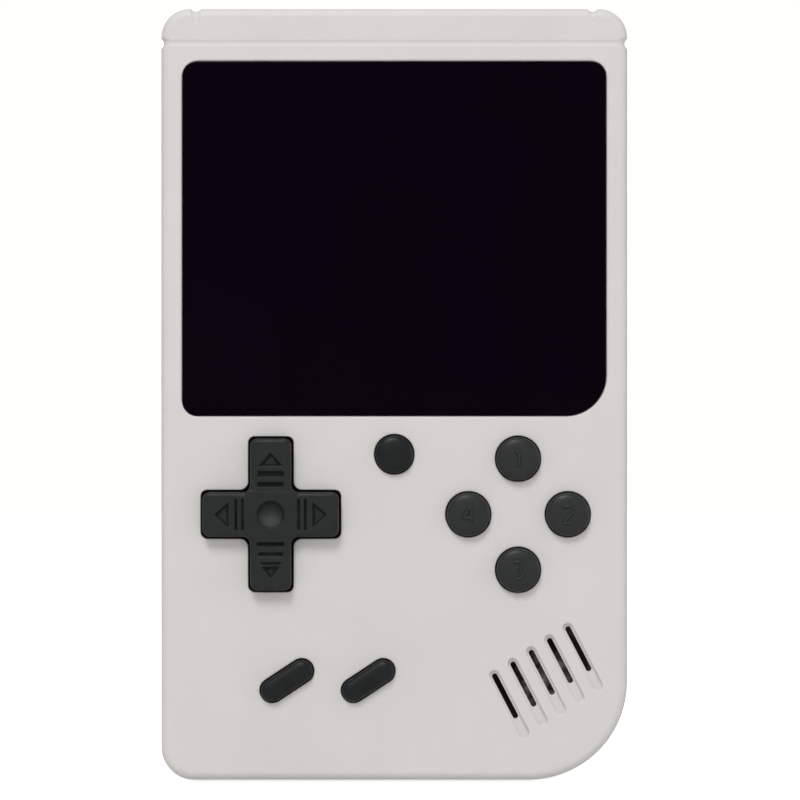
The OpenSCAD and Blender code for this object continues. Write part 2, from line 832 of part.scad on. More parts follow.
module lens_tape() {
    color(black_colour) upright() translate([0, 0, lens_floor]) linear_extrude(tape_t) difference() {
        lens_outline(-loose_gap);
        translate([-window_w / 2, lens_mid_y - window_h / 2]) square([window_w, window_h]);
    }
}

module lcd_glass() {
    color(black_colour) upright()
        translate([-lcd_w / 2, lcd_y0, lcd_glass_z]) cube([lcd_w, lcd_h, lcd_glass_t]);
}

module lcd_backlight() {
    color("white") upright()
        translate([-lcd_w / 2, lcd_y0, lcd_back]) cube([lcd_w, lcd_h, lcd_light_t]);
}

// Ribbon that leaves the lower edge of the display, turns back and lies on the board
module lcd_flex() {
    ribbon_w = 14;
    ribbon_t = 0.25;
    ribbon_z = lcd_glass_z - ribbon_t;
    out = 1.6;
    back = 6;
    x0 = -ribbon_w / 2;
    y1 = lcd_y0 - touch_gap;
    color([0.75, 0.45, 0.15]) upright() translate([x0, 0, 0]) {
        translate([0, y1 - out, ribbon_z]) cube([ribbon_w, out, ribbon_t]);
        translate([0, y1 - out, board_top]) cube([ribbon_w, ribbon_t, ribbon_z + ribbon_t - board_top]);
        translate([0, y1 - out, board_top]) cube([ribbon_w, back, ribbon_t]);
    }
}

module lcd_foam_pads() {
    color(rubber_colour) upright()
        for (y = [lcd_y0 + foam_inset, lcd_y0 + lcd_h - foam_inset])
            translate([-lcd_w / 2 + foam_side, y - foam_w / 2, board_top])
                cube([lcd_w - 2 * foam_side, foam_w, lcd_back - board_top]);
}

module main_pcb() {
    color(board_colour) upright() translate([0, 0, board_back]) difference() {
        linear_extrude(board_t) body_outline(wall + board_inset);
        for (p = case_screw_points)
            translate([p[0], p[1], -over]) cylinder(r = boss_r + loose_gap, h = board_t + 2 * over);
        for (p = board_screw_points)
            translate([p[0], p[1], -over])
                cylinder(r = board_screw_r + slip_gap, h = board_t + 2 * over);
    }
}

// Round blob of black resin over the bare processor
module processor_blob() {
    ball_r = (blob_r * blob_r + blob_h * blob_h) / (2 * blob_h);
    color(black_colour) upright() translate([-blob_x, lens_mid_y, board_top])
        rotate_extrude() intersection() {
            translate([0, blob_h - ball_r]) circle(ball_r, $fn = 360);
            square([blob_r + over, blob_h + over]);
        }
}

module flash_chip() {
    color(black_colour) upright()
        translate([chip_x, lens_mid_y - chip_h / 2, board_top]) cube([chip_w, chip_h, chip_t]);
}

module dpad() {
    color(key_colour) upright() translate([-dpad_x, controls_y, 0]) difference() {
        union() {
            translate([0, 0, dpad_foot_z]) {
                dpad_bar(dpad_arm_w, dpad_h, total_d - dpad_foot_z);
                rotate([0, 0, 90]) dpad_bar(dpad_arm_h, dpad_w, total_d - dpad_foot_z);
                linear_extrude(total_d - dpad_edge - dpad_foot_z)
                    dpad_outline(0, dpad_corner_r, dpad_fillet_r);
                linear_extrude(dpad_foot_t)
                    dpad_outline(dpad_foot_over, dpad_corner_r, dpad_fillet_r);
            }
            translate([0, 0, pivot_z - socket_drop])
                cylinder(r = pivot_r + socket_wall, h = dpad_foot_z - pivot_z + socket_drop + eps);
        }
        translate([0, 0, pivot_z]) sphere(pivot_r + socket_gap);
        dpad_marks();
    }
}

module dpad_pivot_ball() {
    color(metal_colour) upright() translate([-dpad_x, controls_y, pivot_z]) sphere(pivot_r);
}

module dpad_mat() {
    hole_r = pivot_r + socket_wall + dpad_mat_gap;
    reach_x = dpad_w / 2 - dpad_dome_side;
    reach_y = dpad_h / 2 - dpad_dome_end;
    color(rubber_colour) upright() translate([-dpad_x, controls_y, board_top]) {
        difference() {
            cylinder(r = dpad_mat_r, h = mat_t);
            translate([0, 0, -over]) cylinder(r = hole_r, h = mat_t + 2 * over);
        }
        for (p = [[reach_x, 0], [0, reach_y], [-reach_x, 0], [0, -reach_y]])
            translate([p[0], p[1], 0]) mat_dome(dome_r, dome_tip_r, dpad_dome_h);
    }
}

module face_button(i) {
    color(key_colour) upright() translate([face_points[i][0], face_points[i][1], 0])
        round_button(face_d, face_proud, button_round, dome_h);
}

module face_button_top() {
    face_button(0);
}

module face_button_right() {
    face_button(1);
}

module face_button_bottom() {
    face_button(2);
}

module face_button_left() {
    face_button(3);
}

module face_button_mat() {
    color(rubber_colour) upright() {
        translate([face_x, controls_y, board_top]) cylinder(r = face_mat_r, h = mat_t);
        for (p = face_points)
            translate([p[0], p[1], board_top]) mat_dome(dome_r, dome_tip_r, dome_h);
    }
}

module reset_button() {
    color(key_colour) upright() translate([0, reset_y, 0])
        round_button(reset_d, small_proud, small_round, small_dome_h);
}

module reset_mat() {
    color(rubber_colour) upright() translate([0, reset_y, board_top]) {
        cylinder(r = reset_mat_r, h = mat_t);
        mat_dome(dome_r, dome_tip_r, small_dome_h);
    }
}

module select_button() {
    color(key_colour) upright() translate([pill_points[0][0], pill_points[0][1], 0])
        rotate([0, 0, pill_slant]) pill_button();
}

module start_button() {
    color(key_colour) upright() translate([pill_points[1][0], pill_points[1][1], 0])
        rotate([0, 0, pill_slant]) pill_button();
}

module menu_button_mat() {
    mat_l = left_pill_x - right_pill_x + menu_mat_over;
    mid_x = -(left_pill_x + right_pill_x) / 2;
    color(rubber_colour) upright() {
        translate([mid_x, pill_y, board_top]) linear_extrude(mat_t) stadium(mat_l, menu_mat_h);
        for (p = pill_points)
            translate([p[0], p[1], board_top]) mat_dome(small_dome_r, small_dome_tip_r, small_dome_h);
    }
}

module speaker_frame() {
    r = speaker_d / 2;
    base_z = speaker_z + magnet_t;
    color(metal_colour) upright() translate([speaker_x, speaker_y, base_z]) difference() {
        cylinder(r = r, h = speaker_face - base_z);
        translate([0, 0, frame_wall]) cylinder(r = r - frame_wall, h = through);
    }
}

module speaker_cone() {
    r = speaker_d / 2 - frame_wall - cone_gap;
    z0 = speaker_z + magnet_t + frame_wall + slip_gap;
    z1 = speaker_face - cone_sink;
    t = cone_t;
    color([0.25, 0.25, 0.24]) upright() translate([speaker_x, speaker_y, 0]) rotate_extrude()
        polygon([[0, z0], [cap_r, z0], [r, z1 - t], [r, z1], [cap_r, z0 + t], [0, z0 + 2 * t]]);
}

module speaker_magnet() {
    color(metal_colour) upright() translate([speaker_x, speaker_y, speaker_z])
        cylinder(r = magnet_r, h = magnet_t);
}

module speaker_gasket() {
    color(rubber_colour) upright() translate([speaker_x, speaker_y, speaker_face]) difference() {
        cylinder(r = speaker_d / 2, h = gasket_t);
        translate([0, 0, -over]) cylinder(r = speaker_d / 2 - gasket_w, h = gasket_t + 2 * over);
    }
}

module battery() {
    r = battery_corner_r;
    color([0.2, 0.3, 0.45]) upright()
        translate([0, bay_y0 + bay_gap, door_t + loose_gap]) linear_extrude(battery_t)
            rounded_rect(battery_w, battery_l, [r, r, r, r]);
}

module battery_contact_block() {
    z0 = door_t + block_lift;
    color(black_colour) upright()
        translate([-contact_w / 2, contact_y + block_gap, z0])
            cube([contact_w, block_t, board_back - z0]);
}

module battery_contact_blades() {
    step = contact_w / (contact_n + 1);
    x0 = -contact_w / 2 - blade_w / 2;
    color(gold_colour) upright()
        for (i = [1 : contact_n])
            translate([x0 + i * step, contact_y + touch_gap, door_t + blade_lift])
                cube([blade_w, blade_t, blade_l]);
}

module power_switch_body() {
    x0 = body_w / 2 - slider_root - switch_back;
    z0 = side_z - slider_t / 2 - switch_wall;
    slot_y = side_y - slider_l / 2 - slip_gap;
    color(metal_colour) upright() difference() {
        translate([x0, side_y - switch_l / 2 + slider_travel / 2, z0])
            cube([switch_w, switch_l, board_back - z0]);
        translate([x0 + switch_wall, slot_y, side_z - slider_t / 2 - slip_gap])
            cube([through, slider_l + slider_travel + 2 * slip_gap, slider_t + 2 * slip_gap]);
    }
}

module power_slider() {
    x0 = body_w / 2 - slider_root - slider_tail;
    x1 = body_w / 2 - slip_gap;
    ridge_y = side_y - slider_ridge_w / 2;
    color(key_colour) upright() difference() {
        translate([x0, side_y - slider_l / 2, side_z - slider_t / 2])
            cube([x1 - x0, slider_l, slider_t]);
        for (i = [-1, 0, 1])
            translate([x1 - slider_ridge_d, ridge_y + i * slider_ridge_step, side_z - slider_t])
                cube([over, slider_ridge_w, 2 * slider_t]);
    }
}

module volume_pot_body() {
    color(black_colour) upright() translate([wheel_x, side_y, pot_z]) difference() {
        translate([-pot_w / 2, -pot_w / 2, 0]) cube([pot_w, pot_w, board_back - pot_z]);
        translate([0, 0, -over]) cylinder(r = shaft_r + shaft_gap, h = over + shaft_l + slip_gap);
    }
}

module volume_wheel() {
    color(key_colour) upright() translate([wheel_x, side_y, side_z]) {
        difference() {
            cylinder(r = wheel_r, h = wheel_t, center = true);
            for (i = [0 : wheel_ridges - 1])
                rotate([0, 0, i * 360 / wheel_ridges]) translate([wheel_r + ridge_out, 0, 0])
                    cylinder(r = ridge_r, h = wheel_t + over, center = true, $fn = 24);
        }
        cylinder(r = shaft_r, h = pot_z - side_z + shaft_l);
    }
}

module av_jack() {
    nose_y = body_h - port_sink;
    z0 = -jack_half_t;
    body_y1 = body_h - wall - touch_gap;
    color(black_colour) upright() translate([-jack_x, 0, jack_z]) difference() {
        union() {
            translate([-jack_w / 2, body_y1 - jack_l, z0])
                cube([jack_w, jack_l, board_back - jack_z - z0]);
            translate([0, body_y1 - over, 0]) rotate([-90, 0, 0])
                cylinder(r = jack_nose_r, h = nose_y - body_y1 + over);
        }
        translate([0, nose_y - jack_depth, 0]) rotate([-90, 0, 0])
            cylinder(r = jack_bore_r, h = jack_depth + over);
    }
}

module usb_socket() {
    y0 = body_h - port_sink - usb_l;
    inner_w = usb_w - 2 * usb_wall;
    inner_t = usb_t - 2 * usb_wall;
    color(metal_colour) upright() translate([usb_x, y0, usb_z]) difference() {
        translate([-usb_w / 2, 0, -usb_t / 2]) cube([usb_w, usb_l, usb_t]);
        translate([-inner_w / 2, usb_back_t, -inner_t / 2]) cube([inner_w, usb_l, inner_t]);
    }
}

module usb_tongue() {
    y0 = body_h - port_sink - usb_l + usb_back_t;
    tongue_w = usb_w - 2 * tongue_side;
    color(black_colour) upright()
        translate([usb_x - tongue_w / 2, y0, usb_z - tongue_t / 2])
            cube([tongue_w, usb_l - usb_back_t - tongue_sink, tongue_t]);
}

// Screw with its head towards the back and a cross recess
module screw(r, head_r, head_t, l) {
    difference() {
        union() {
            translate([0, 0, -head_t]) cylinder(r = head_r, h = head_t);
            translate([0, 0, -eps]) cylinder(r = r, h = l);
        }
        for (turn = [0, 90])
            rotate([0, 0, turn]) translate([0, 0, -head_t])
                cube([head_r * recess_l, head_r * recess_w, head_t], center = true);
    }
}

module case_screws() {
    color(metal_colour) upright()
        for (p = case_screw_points)
            translate([p[0], p[1], screw_seat_z])
                screw(screw_r, screw_head_r, screw_head_t, seam_z + screw_bite - screw_seat_z);
}

module pcb_screws() {
    color(metal_colour) upright()
        for (p = board_screw_points)
            translate([p[0], p[1], board_back])
                screw(
                    board_screw_r, board_screw_head_r, board_screw_head_t, board_t + board_screw_bite);
}

front_shell();
rear_shell();
battery_door();
screen_lens();
lens_tape();
lcd_glass();
lcd_backlight();
lcd_flex();
lcd_foam_pads();
main_pcb();
processor_blob();
flash_chip();
dpad();
dpad_pivot_ball();
dpad_mat();
face_button_top();
face_button_right();
face_button_bottom();
face_button_left();
face_button_mat();
reset_button();
reset_mat();
select_button();
start_button();
menu_button_mat();
speaker_frame();
speaker_cone();
speaker_magnet();
speaker_gasket();
battery();
battery_contact_block();
battery_contact_blades();
power_switch_body();
power_slider();
volume_pot_body();
volume_wheel();
av_jack();
usb_socket();
usb_tongue();
case_screws();
pcb_screws();
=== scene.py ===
# %% [markdown]
# # A pocket game console, dressed in Blender
# The CAD model already holds every piece of the console at its real size and place. This lesson
# leaves that frame alone and builds what the eye meets: soft moulded edges, domed keys, a black
# lens and the finish of each material. It ends with a studio that is as plain as a catalogue page.

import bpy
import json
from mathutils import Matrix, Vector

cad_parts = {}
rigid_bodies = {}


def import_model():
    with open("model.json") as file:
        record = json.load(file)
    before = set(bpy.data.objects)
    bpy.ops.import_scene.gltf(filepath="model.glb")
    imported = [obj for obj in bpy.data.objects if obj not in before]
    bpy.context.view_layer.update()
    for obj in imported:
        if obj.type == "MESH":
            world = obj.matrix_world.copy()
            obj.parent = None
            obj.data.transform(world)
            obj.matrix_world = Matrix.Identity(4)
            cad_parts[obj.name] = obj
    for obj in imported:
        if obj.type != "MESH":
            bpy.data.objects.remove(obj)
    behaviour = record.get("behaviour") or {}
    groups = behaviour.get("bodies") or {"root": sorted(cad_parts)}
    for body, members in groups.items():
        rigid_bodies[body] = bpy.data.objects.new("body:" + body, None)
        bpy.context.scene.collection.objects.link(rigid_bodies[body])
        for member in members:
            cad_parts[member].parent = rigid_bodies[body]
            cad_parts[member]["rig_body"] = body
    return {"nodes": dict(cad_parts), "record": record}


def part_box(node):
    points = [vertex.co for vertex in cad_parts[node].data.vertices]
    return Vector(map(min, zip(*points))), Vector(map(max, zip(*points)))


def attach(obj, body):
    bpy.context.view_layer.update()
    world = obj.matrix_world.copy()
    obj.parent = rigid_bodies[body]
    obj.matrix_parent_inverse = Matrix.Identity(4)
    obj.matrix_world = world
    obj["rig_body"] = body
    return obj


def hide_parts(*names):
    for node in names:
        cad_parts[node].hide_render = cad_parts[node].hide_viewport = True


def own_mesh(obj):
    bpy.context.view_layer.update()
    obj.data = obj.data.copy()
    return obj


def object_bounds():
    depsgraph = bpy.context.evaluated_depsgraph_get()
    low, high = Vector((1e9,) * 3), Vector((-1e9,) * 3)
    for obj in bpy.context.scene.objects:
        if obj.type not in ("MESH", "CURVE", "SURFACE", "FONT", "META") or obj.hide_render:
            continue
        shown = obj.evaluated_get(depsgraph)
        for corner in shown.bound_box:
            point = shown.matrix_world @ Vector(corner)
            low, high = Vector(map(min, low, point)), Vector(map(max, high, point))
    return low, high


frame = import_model()
cad_box = [list(corner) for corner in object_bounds()]
nodes = frame["nodes"]

# %% [markdown]
# ## On the bench
# The frame is in metres, and the console stands in it with its screen to the front. A maker would
# rather lay it flat and think in millimetres: x to the right, y up the face and z out of the
# screen. All shapes below are worked out on that bench, and one function stands them up.

# %% Bench millimetres
import json
import math

import bmesh
import bpy
import numpy as np

MM = 0.001
depth = (cad_box[1][1] - cad_box[0][1]) / MM
scene = bpy.context.scene


def stand(points):
    """Bench millimetres to metres in the frame: (x, y, z) becomes (x, half the depth less z, y)."""
    x, y, z = np.moveaxis(np.asarray(points, float), -1, 0)
    return np.stack([x, depth / 2 - z, y], -1) * MM


def bench_box(node):
    """Lowest and highest corner of a CAD node in bench millimetres, with z counted from the back."""
    low, high = (np.array(corner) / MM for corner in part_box(node))
    return (np.array([low[0], low[2], depth / 2 - high[1]]),
            np.array([high[0], high[2], depth / 2 - low[1]]))


def middle(node):
    """Middle of a CAD node's box in bench millimetres."""
    low, high = bench_box(node)
    return (low + high) / 2


front_z = bench_box("front_shell")[1][2]
print(f"the console is {depth:.1f} mm deep with its keys, and its front face lies at {front_z:.1f} mm")

# %% [markdown]
# ## Writing shaders as sums
# A material is a graph of nodes, and graphs built by hand are hard to read back. A small class
# that wraps one output socket lets ordinary arithmetic add the Math nodes, and one method adds any
# other node. Every finish below is then a few lines of Python.

# %% A wire between shader nodes
class Wire:
    """One output socket; +, -, * and abs() on wires and numbers add Math nodes."""

    def __init__(self, socket):
        self.socket = socket

    def node(self, kind, settings=None, inputs=None, output=0):
        """Adds a node: its settings first, then numbers, colours or wires for its sockets."""
        tree = self.socket.id_data
        made = tree.nodes.new(kind)
        for key, value in (settings or {}).items():
            setattr(made, key, value)
        for key, value in (inputs or {}).items():
            if isinstance(value, Wire):
                tree.links.new(value.socket, made.inputs[key])
            else:
                made.inputs[key].default_value = value
        return Wire(made.outputs[output])

    def math(self, operation, *values):
        """Adds a Math node on one or two wires or numbers."""
        return self.node("ShaderNodeMath", {"operation": operation}, dict(enumerate(values)))

    def __add__(self, other):
        return self.math("ADD", self, other)

    def __sub__(self, other):
        return self.math("SUBTRACT", self, other)

    def __rsub__(self, other):
        return self.math("SUBTRACT", other, self)

    def __mul__(self, other):
        return self.math("MULTIPLY", self, other)

    def __abs__(self):
        return self.math("ABSOLUTE", self)

    __radd__ = __add__
    __rmul__ = __mul__


print("a wire takes +, -, * and abs()")


# %% Colours and noise
FINE = 3.0


def tone(red, green, blue):
    """A screen colour from 0 to 255 as the linear light that a shader takes, by the sRGB curve."""
    share = np.array([red, green, blue]) / 255
    low, high = share / 12.92, ((share + 0.055) / 1.055) ** 2.4
    return (*np.where(share <= 0.04045, low, high), 1.0)


def noise(place, size, detail=2.0):
    """Soft noise from 0 to 1 whose lumps are about size millimetres across."""
    return place.node("ShaderNodeTexNoise", None,
                      {"Vector": place, "Scale": 1 / (size * MM), "Detail": detail})


def stretched(place, x, y, z):
    """The same coordinates, stretched so that a pattern runs long along the axis with a small factor."""
    return place.node("ShaderNodeMapping", None, {"Vector": place, "Scale": (x, y, z)})


print(f"a middle grey of 128 is {tone(128, 128, 128)[0]:.3f} in linear light")


# %% Masks, mixes and relief
def coordinate(place, axis):
    """One of three coordinates, by its letter."""
    return place.node("ShaderNodeSeparateXYZ", None, {0: place}, axis)


def step(wire, low, high):
    """0 below low, 1 above high, and a straight ramp between them."""
    return wire.node("ShaderNodeMapRange", None, {"Value": wire, "From Min": low, "From Max": high})


def within(wire, low, high):
    """The reverse of a step: 1 below low and 0 above high."""
    return 1 - step(wire, low, high)


def between(factor, first, second):
    """The colour that lies a factor of the way from the first to the second.

    A Mix node counts its sockets over all data types: its colours are 6 and 7, and their mix is 2."""
    return factor.node("ShaderNodeMix", {"data_type": "RGBA"}, {0: factor, 6: first, 7: second}, 2)


def bump(height, rise):
    """The normal of a relief that rises so many millimetres where height is 1."""
    return height.node("ShaderNodeBump", None, {"Distance": rise * MM, "Height": height})


print("masks run from 0 to 1, and relief is in millimetres")

# %% A finish for a slot
finishes = {}


def finish(slot, build, **constants):
    """Makes a slot's material: constants go onto the shader's sockets, and build wires what varies."""
    material = bpy.data.materials.new(slot)
    material.use_nodes = True
    tree = material.node_tree
    shader = tree.nodes["Principled BSDF"]
    for key, value in constants.items():
        shader.inputs[key.replace("_", " ")].default_value = value
    place = Wire(tree.nodes.new("ShaderNodeTexCoord").outputs["Object"])
    for key, wire in build(place).items():
        tree.links.new(wire.socket, shader.inputs[key])
    finishes[slot] = material
    print(slot, "has", len(tree.nodes), "shader nodes")


subparts = frame["record"]["subparts"]
print(len({part["material_slot"] for part in subparts}), "slots need a finish")

# %% [markdown]
# ## The pale shell
# The shell is moulded plastic with a fine spark texture, which breaks up highlights, and a tone
# that drifts a little over the surface. A coat of paint would need one flat colour; moulding needs
# grain in the relief and the roughness, and faint patches in the colour.

# %% Shell plastic
def shell_plastic(place):
    """Two close tones that drift in wide and in smaller patches, under a fine grain."""
    grain = noise(place, 0.22, FINE)
    drift = noise(place, 16)
    patch = noise(place, 5.5)
    return {"Base Color": between(drift * 0.6 + patch * 0.4, tone(205, 203, 200), tone(215, 212, 210)),
            "Roughness": 0.46 + 0.14 * grain + 0.06 * patch,
            "Normal": bump(grain, rise=0.006)}


finish("shell_plastic", shell_plastic, IOR=1.42)

# %% [markdown]
# ## The dark keys
# The keys are black plastic, glossier than the shell, with a finer grain. Thumbs rub the face
# buttons and the D-pad most, so these are greyer. The dimple is greyer still, and lightest low
# down: partly wear, partly a painted highlight where its lower wall faces the light. Masks by the
# distance from an axis place that wear and that highlight. A low index of refraction keeps the
# keys deep in a white studio, where a usual plastic would turn grey.

# %% Distance from an axis
def from_axis(place, node, right=0.0, lower=0.0):
    """Millimetres from an axis that runs from front to back through a node's middle.

    The axis may lie so far to the right of that middle, and so far below it."""
    axis = stand(middle(node) + [right, -lower, 0]) * [1, 0, 1]
    away = place.node("ShaderNodeVectorMath", {"operation": "DISTANCE"},
                      {0: stretched(place, 1, 0, 1), 1: axis.tolist()}, "Value")
    return away * (1 / MM)


print("the D-pad's axis is at", np.round(middle("dpad")[:2], 1), "mm on the bench")

# %% Key plastic
PAD_WEAR_R = (12.5, 14)
FACE_WEAR_R = (13, 14)
DIMPLE_R = 2.1
DIMPLE_RIM = 0.3
# The dimple's painted highlight: a mask centred so far below the D-pad's middle, within these radii.
DIMPLE_LIGHT_LOWER = 1.3
DIMPLE_LIGHT_R = (1.0, 2.4)


def key_plastic(place):
    """Black in streaks of two tones, mixed with grey by a share for each place that thumbs rub, and
    lighter still low in the dimple as a painted highlight.
    """
    grain = noise(place, 0.16, FINE)
    rubbed = noise(place, 2.4)
    streak = noise(stretched(place, 1, 1, 0.35), 0.7, FINE)
    from_pad = from_axis(place, "dpad")
    # Painted highlight: only the lower half of the dimple turns lighter, where its wall faces the light
    # from above; the rest of this mix is wear.
    lit_lower_half = within(from_axis(place, "dpad", lower=DIMPLE_LIGHT_LOWER), *DIMPLE_LIGHT_R)
    dimple = within(from_pad, DIMPLE_R - DIMPLE_RIM, DIMPLE_R) * lit_lower_half
    face = within(from_axis(place, "face_button_mat"), *FACE_WEAR_R)
    wear_and_lit_dimple = 0.2 * within(from_pad, *PAD_WEAR_R) + 0.8 * dimple + 0.38 * face
    black = between(rubbed * 0.5 + streak * 0.5, tone(13, 15, 16), tone(27, 29, 30))
    return {"Base Color": between(wear_and_lit_dimple * (0.7 + 0.6 * rubbed), black, tone(60, 61, 61)),
            "Roughness": 0.42 - 0.16 * rubbed + 0.1 * grain + 0.2 * dimple,
            "Normal": bump(grain, rise=0.007)}


finish("key_plastic", key_plastic, IOR=1.3)

# %% [markdown]
# ## Gloss in front of black
# The lens is printed black from behind and hard coated. Seen straight on it is nearly pure black,
# and at a slant it mirrors the room. A low index does that without any trick, and faint smears in
# the roughness keep the mirror from looking computed. The display behind it shows fine lines.

# %% Lens and display
DISPLAY_LINES = 1500.0


def lens_black(place):
    """Two near blacks in tall smears, which also vary the gloss a little."""
    smear = noise(stretched(place, 1, 1, 0.5), 14, FINE)
    dust = noise(place, 0.5)
    return {"Base Color": between(smear, tone(3, 0, 7), tone(6, 0, 11)),
            "Roughness": 0.05 + 0.05 * smear + 0.02 * dust}


def display_glass(place):
    """Upright lines of two dark greys."""
    lines = place.node("ShaderNodeTexWave", {"bands_direction": "X"},
                       {"Vector": place, "Scale": DISPLAY_LINES})
    return {"Base Color": between(lines, tone(12, 12, 15), tone(22, 22, 26)),
            "Roughness": 0.1 + 0.08 * noise(place, 6)}


finish("lens_black", lens_black, IOR=1.1)
finish("display_glass", display_glass)

# %% [markdown]
# ## Plain moulded and foamed finishes
# Most inner pieces share one recipe: two tones in lumps of some size, a middle roughness, and a
# fine grain in relief. A function that returns a builder saves writing it out each time.

# %% Mottled finishes
ROUGH_SPREAD = 0.16


def mottled(low, high, size, rough, grain, rise):
    """Two tones in lumps of a size, roughness about a middle value, and a grain that rises in mm."""
    def build(place):
        fine = noise(place, grain, FINE)
        return {"Base Color": between(noise(place, size), low, high),
                "Roughness": rough - ROUGH_SPREAD / 2 + ROUGH_SPREAD * fine,
                "Normal": bump(fine, rise)}
    return build


finish("tape_black", mottled(tone(22, 22, 23), tone(38, 38, 39),
                             size=1.5, rough=0.7, grain=0.2, rise=0.01))
finish("backlight_white", mottled(tone(222, 222, 218), tone(236, 236, 232),
                                  size=8, rough=0.4, grain=0.3, rise=0.003))
finish("resin_black", mottled(tone(26, 26, 28), tone(40, 40, 42),
                              size=2, rough=0.4, grain=0.25, rise=0.01))
finish("socket_black", mottled(tone(24, 24, 25), tone(36, 36, 37),
                               size=1.2, rough=0.45, grain=0.15, rise=0.006))
finish("mat_silicone", mottled(tone(112, 114, 118), tone(128, 130, 134),
                               size=3, rough=0.65, grain=0.2, rise=0.006), Subsurface_Weight=0.1)
# The foam is near black, darker than a grey foam: partly its own colour, partly painted shade at the ends
# of the speaker slots.
finish("foam_grey", mottled(tone(36, 36, 38), tone(60, 60, 62),
                            size=0.5, rough=0.85, grain=0.35, rise=0.08))

# %% [markdown]
# ## Metals
# Plated parts are drawn or rolled, so their scratches run one way; stretching the coordinates of
# a noise does that. Screws and gold contacts use the same recipe with other tones.

# %% Metal finishes
def drawn_metal(low, high, along):
    """Metal with scratches that run along the axis whose stretch factor is small."""
    def build(place):
        scratch = noise(stretched(place, *along), 0.18, FINE)
        stain = noise(place, 3)
        return {"Base Color": between(stain * 0.6 + scratch * 0.4, low, high),
                "Roughness": 0.24 + 0.2 * scratch,
                "Normal": bump(scratch, rise=0.004)}
    return build


finish("plated_steel", drawn_metal(tone(182, 183, 186), tone(214, 214, 216), (1, 1, 0.06)), Metallic=1.0)
finish("screw_steel", drawn_metal(tone(150, 150, 154), tone(190, 190, 192), (1, 0.1, 1)), Metallic=1.0)
finish("contact_gold", drawn_metal(tone(214, 170, 84), tone(236, 200, 120), (0.1, 1, 1)), Metallic=1.0)

# %% [markdown]
# ## The board, the ribbon, the cell and the cone
# A board shows copper tracks as raised lines under green lacquer, a ribbon shows its wires, and a
# cell wears a shrunk film with a darker band at its top. A loudspeaker's cone is black with pale
# blotches of paper near a point a little low and to the right of its middle, where the slots show
# it: the blotches are painted glints of the light that falls in through the slots, and the black
# further out is partly the cone's own colour, partly painted shade. Each is one pattern on top of
# the usual noise.

# %% Board and ribbon
BOARD_TRACKS = 260.0
TRACK_WIDTH = 0.03
RIBBON_WIRES = 330.0


def board_green(place):
    """Green lacquer, paler and raised along the tracks, which are the joints of a brick pattern."""
    tracks = place.node("ShaderNodeTexBrick", {"offset": 0.35},
                        {"Vector": place, "Scale": BOARD_TRACKS, "Mortar Size": TRACK_WIDTH}, "Fac")
    return {"Base Color": between(tracks, tone(26, 92, 56), tone(58, 128, 82)),
            "Roughness": 0.36 + 0.12 * noise(place, 0.4),
            "Normal": bump(tracks, rise=0.02)}


def ribbon_amber(place):
    """Upright wires in a pale and a dark amber."""
    wires = place.node("ShaderNodeTexWave", {"bands_direction": "X"},
                       {"Vector": place, "Scale": RIBBON_WIRES})
    return {"Base Color": between(wires, tone(196, 128, 52), tone(224, 166, 92)),
            "Roughness": 0.3 + 0.15 * noise(place, 1.5)}


finish("board_green", board_green)
finish("ribbon_amber", ribbon_amber)

# %% Cell and cone
CELL_BAND = np.array([54.5, 54.7]) * MM
# Where the painted glints sit: so far right of and below the cone's middle, within these radii.
GLINT_RIGHT, GLINT_LOWER = 1.3, 0.7
GLINT_R = (2.8, 4.8)


def battery_wrap(place):
    """Blue film with creases that run across it, and a dark band above a height."""
    band = step(coordinate(place, "Z"), *CELL_BAND)
    crease = noise(stretched(place, 0.2, 1, 1), 2.2, FINE)
    film = between(crease, tone(70, 96, 134), tone(88, 116, 156))
    return {"Base Color": between(band, film, tone(44, 58, 84)),
            "Roughness": 0.32 + 0.2 * crease,
            "Normal": bump(crease, rise=0.02)}


def cone_paper(place):
    """Painted glints as pale paper in soft blotches near an axis, and black further out, partly painted
    shade.
    """
    # Painted glints near the axis; the black ring further out is partly painted shade where the shell's
    # wall shades the cone.
    rim = step(from_axis(place, "speaker_cone", GLINT_RIGHT, GLINT_LOWER), *GLINT_R)
    fibre = noise(place, 1.3)
    paper_and_glints = between(step(fibre, 0.32, 0.7), tone(66, 68, 62), tone(236, 238, 224))
    return {"Base Color": between(rim, paper_and_glints, tone(14, 14, 15)),
            "Roughness": 0.55 + 0.15 * fibre,
            "Normal": bump(noise(place, 0.2, FINE), rise=0.03)}


finish("battery_wrap", battery_wrap)
finish("cone_paper", cone_paper)
print(len(finishes), "finishes in all")

# %% [markdown]
# ## Surfaces from arrays
# A moulded key is a stack of rings: each ring is the key's outline, drawn in or let out, at one
# height. Written as arrays, the whole stack is one formula. A helper joins neighbouring rings with
# quads, and a ring that shrinks to a point or a line closes the skin.

# %% From arrays to meshes
MERGE = 0.001 * MM
SMOOTH = 40


def tidy(mesh, sharp, turn_out=True):
    """Merges doubled points, drops faces without area, and shades smooth up to an angle in degrees.

    Faces turn outwards unless they already look the right way."""
    work = bmesh.new()
    work.from_mesh(mesh)
    bmesh.ops.remove_doubles(work, verts=work.verts, dist=MERGE)
    bmesh.ops.dissolve_degenerate(work, edges=work.edges, dist=MERGE)
    if turn_out:
        bmesh.ops.recalc_face_normals(work, faces=work.faces)
    work.to_mesh(mesh)
    work.free()
    mesh.shade_smooth()
    mesh.set_sharp_from_angle(angle=math.radians(sharp))


def ring_faces(rings, count):
    """Quads between neighbouring rings; a ring's last point joins its first."""
    row = np.arange(rings - 1)[:, None] * count
    here = np.arange(count)
    there = np.roll(here, -1)
    corners = [row + here, row + there, row + count + there, row + count + here]
    return np.stack(corners, -1).reshape(-1, 4).tolist()


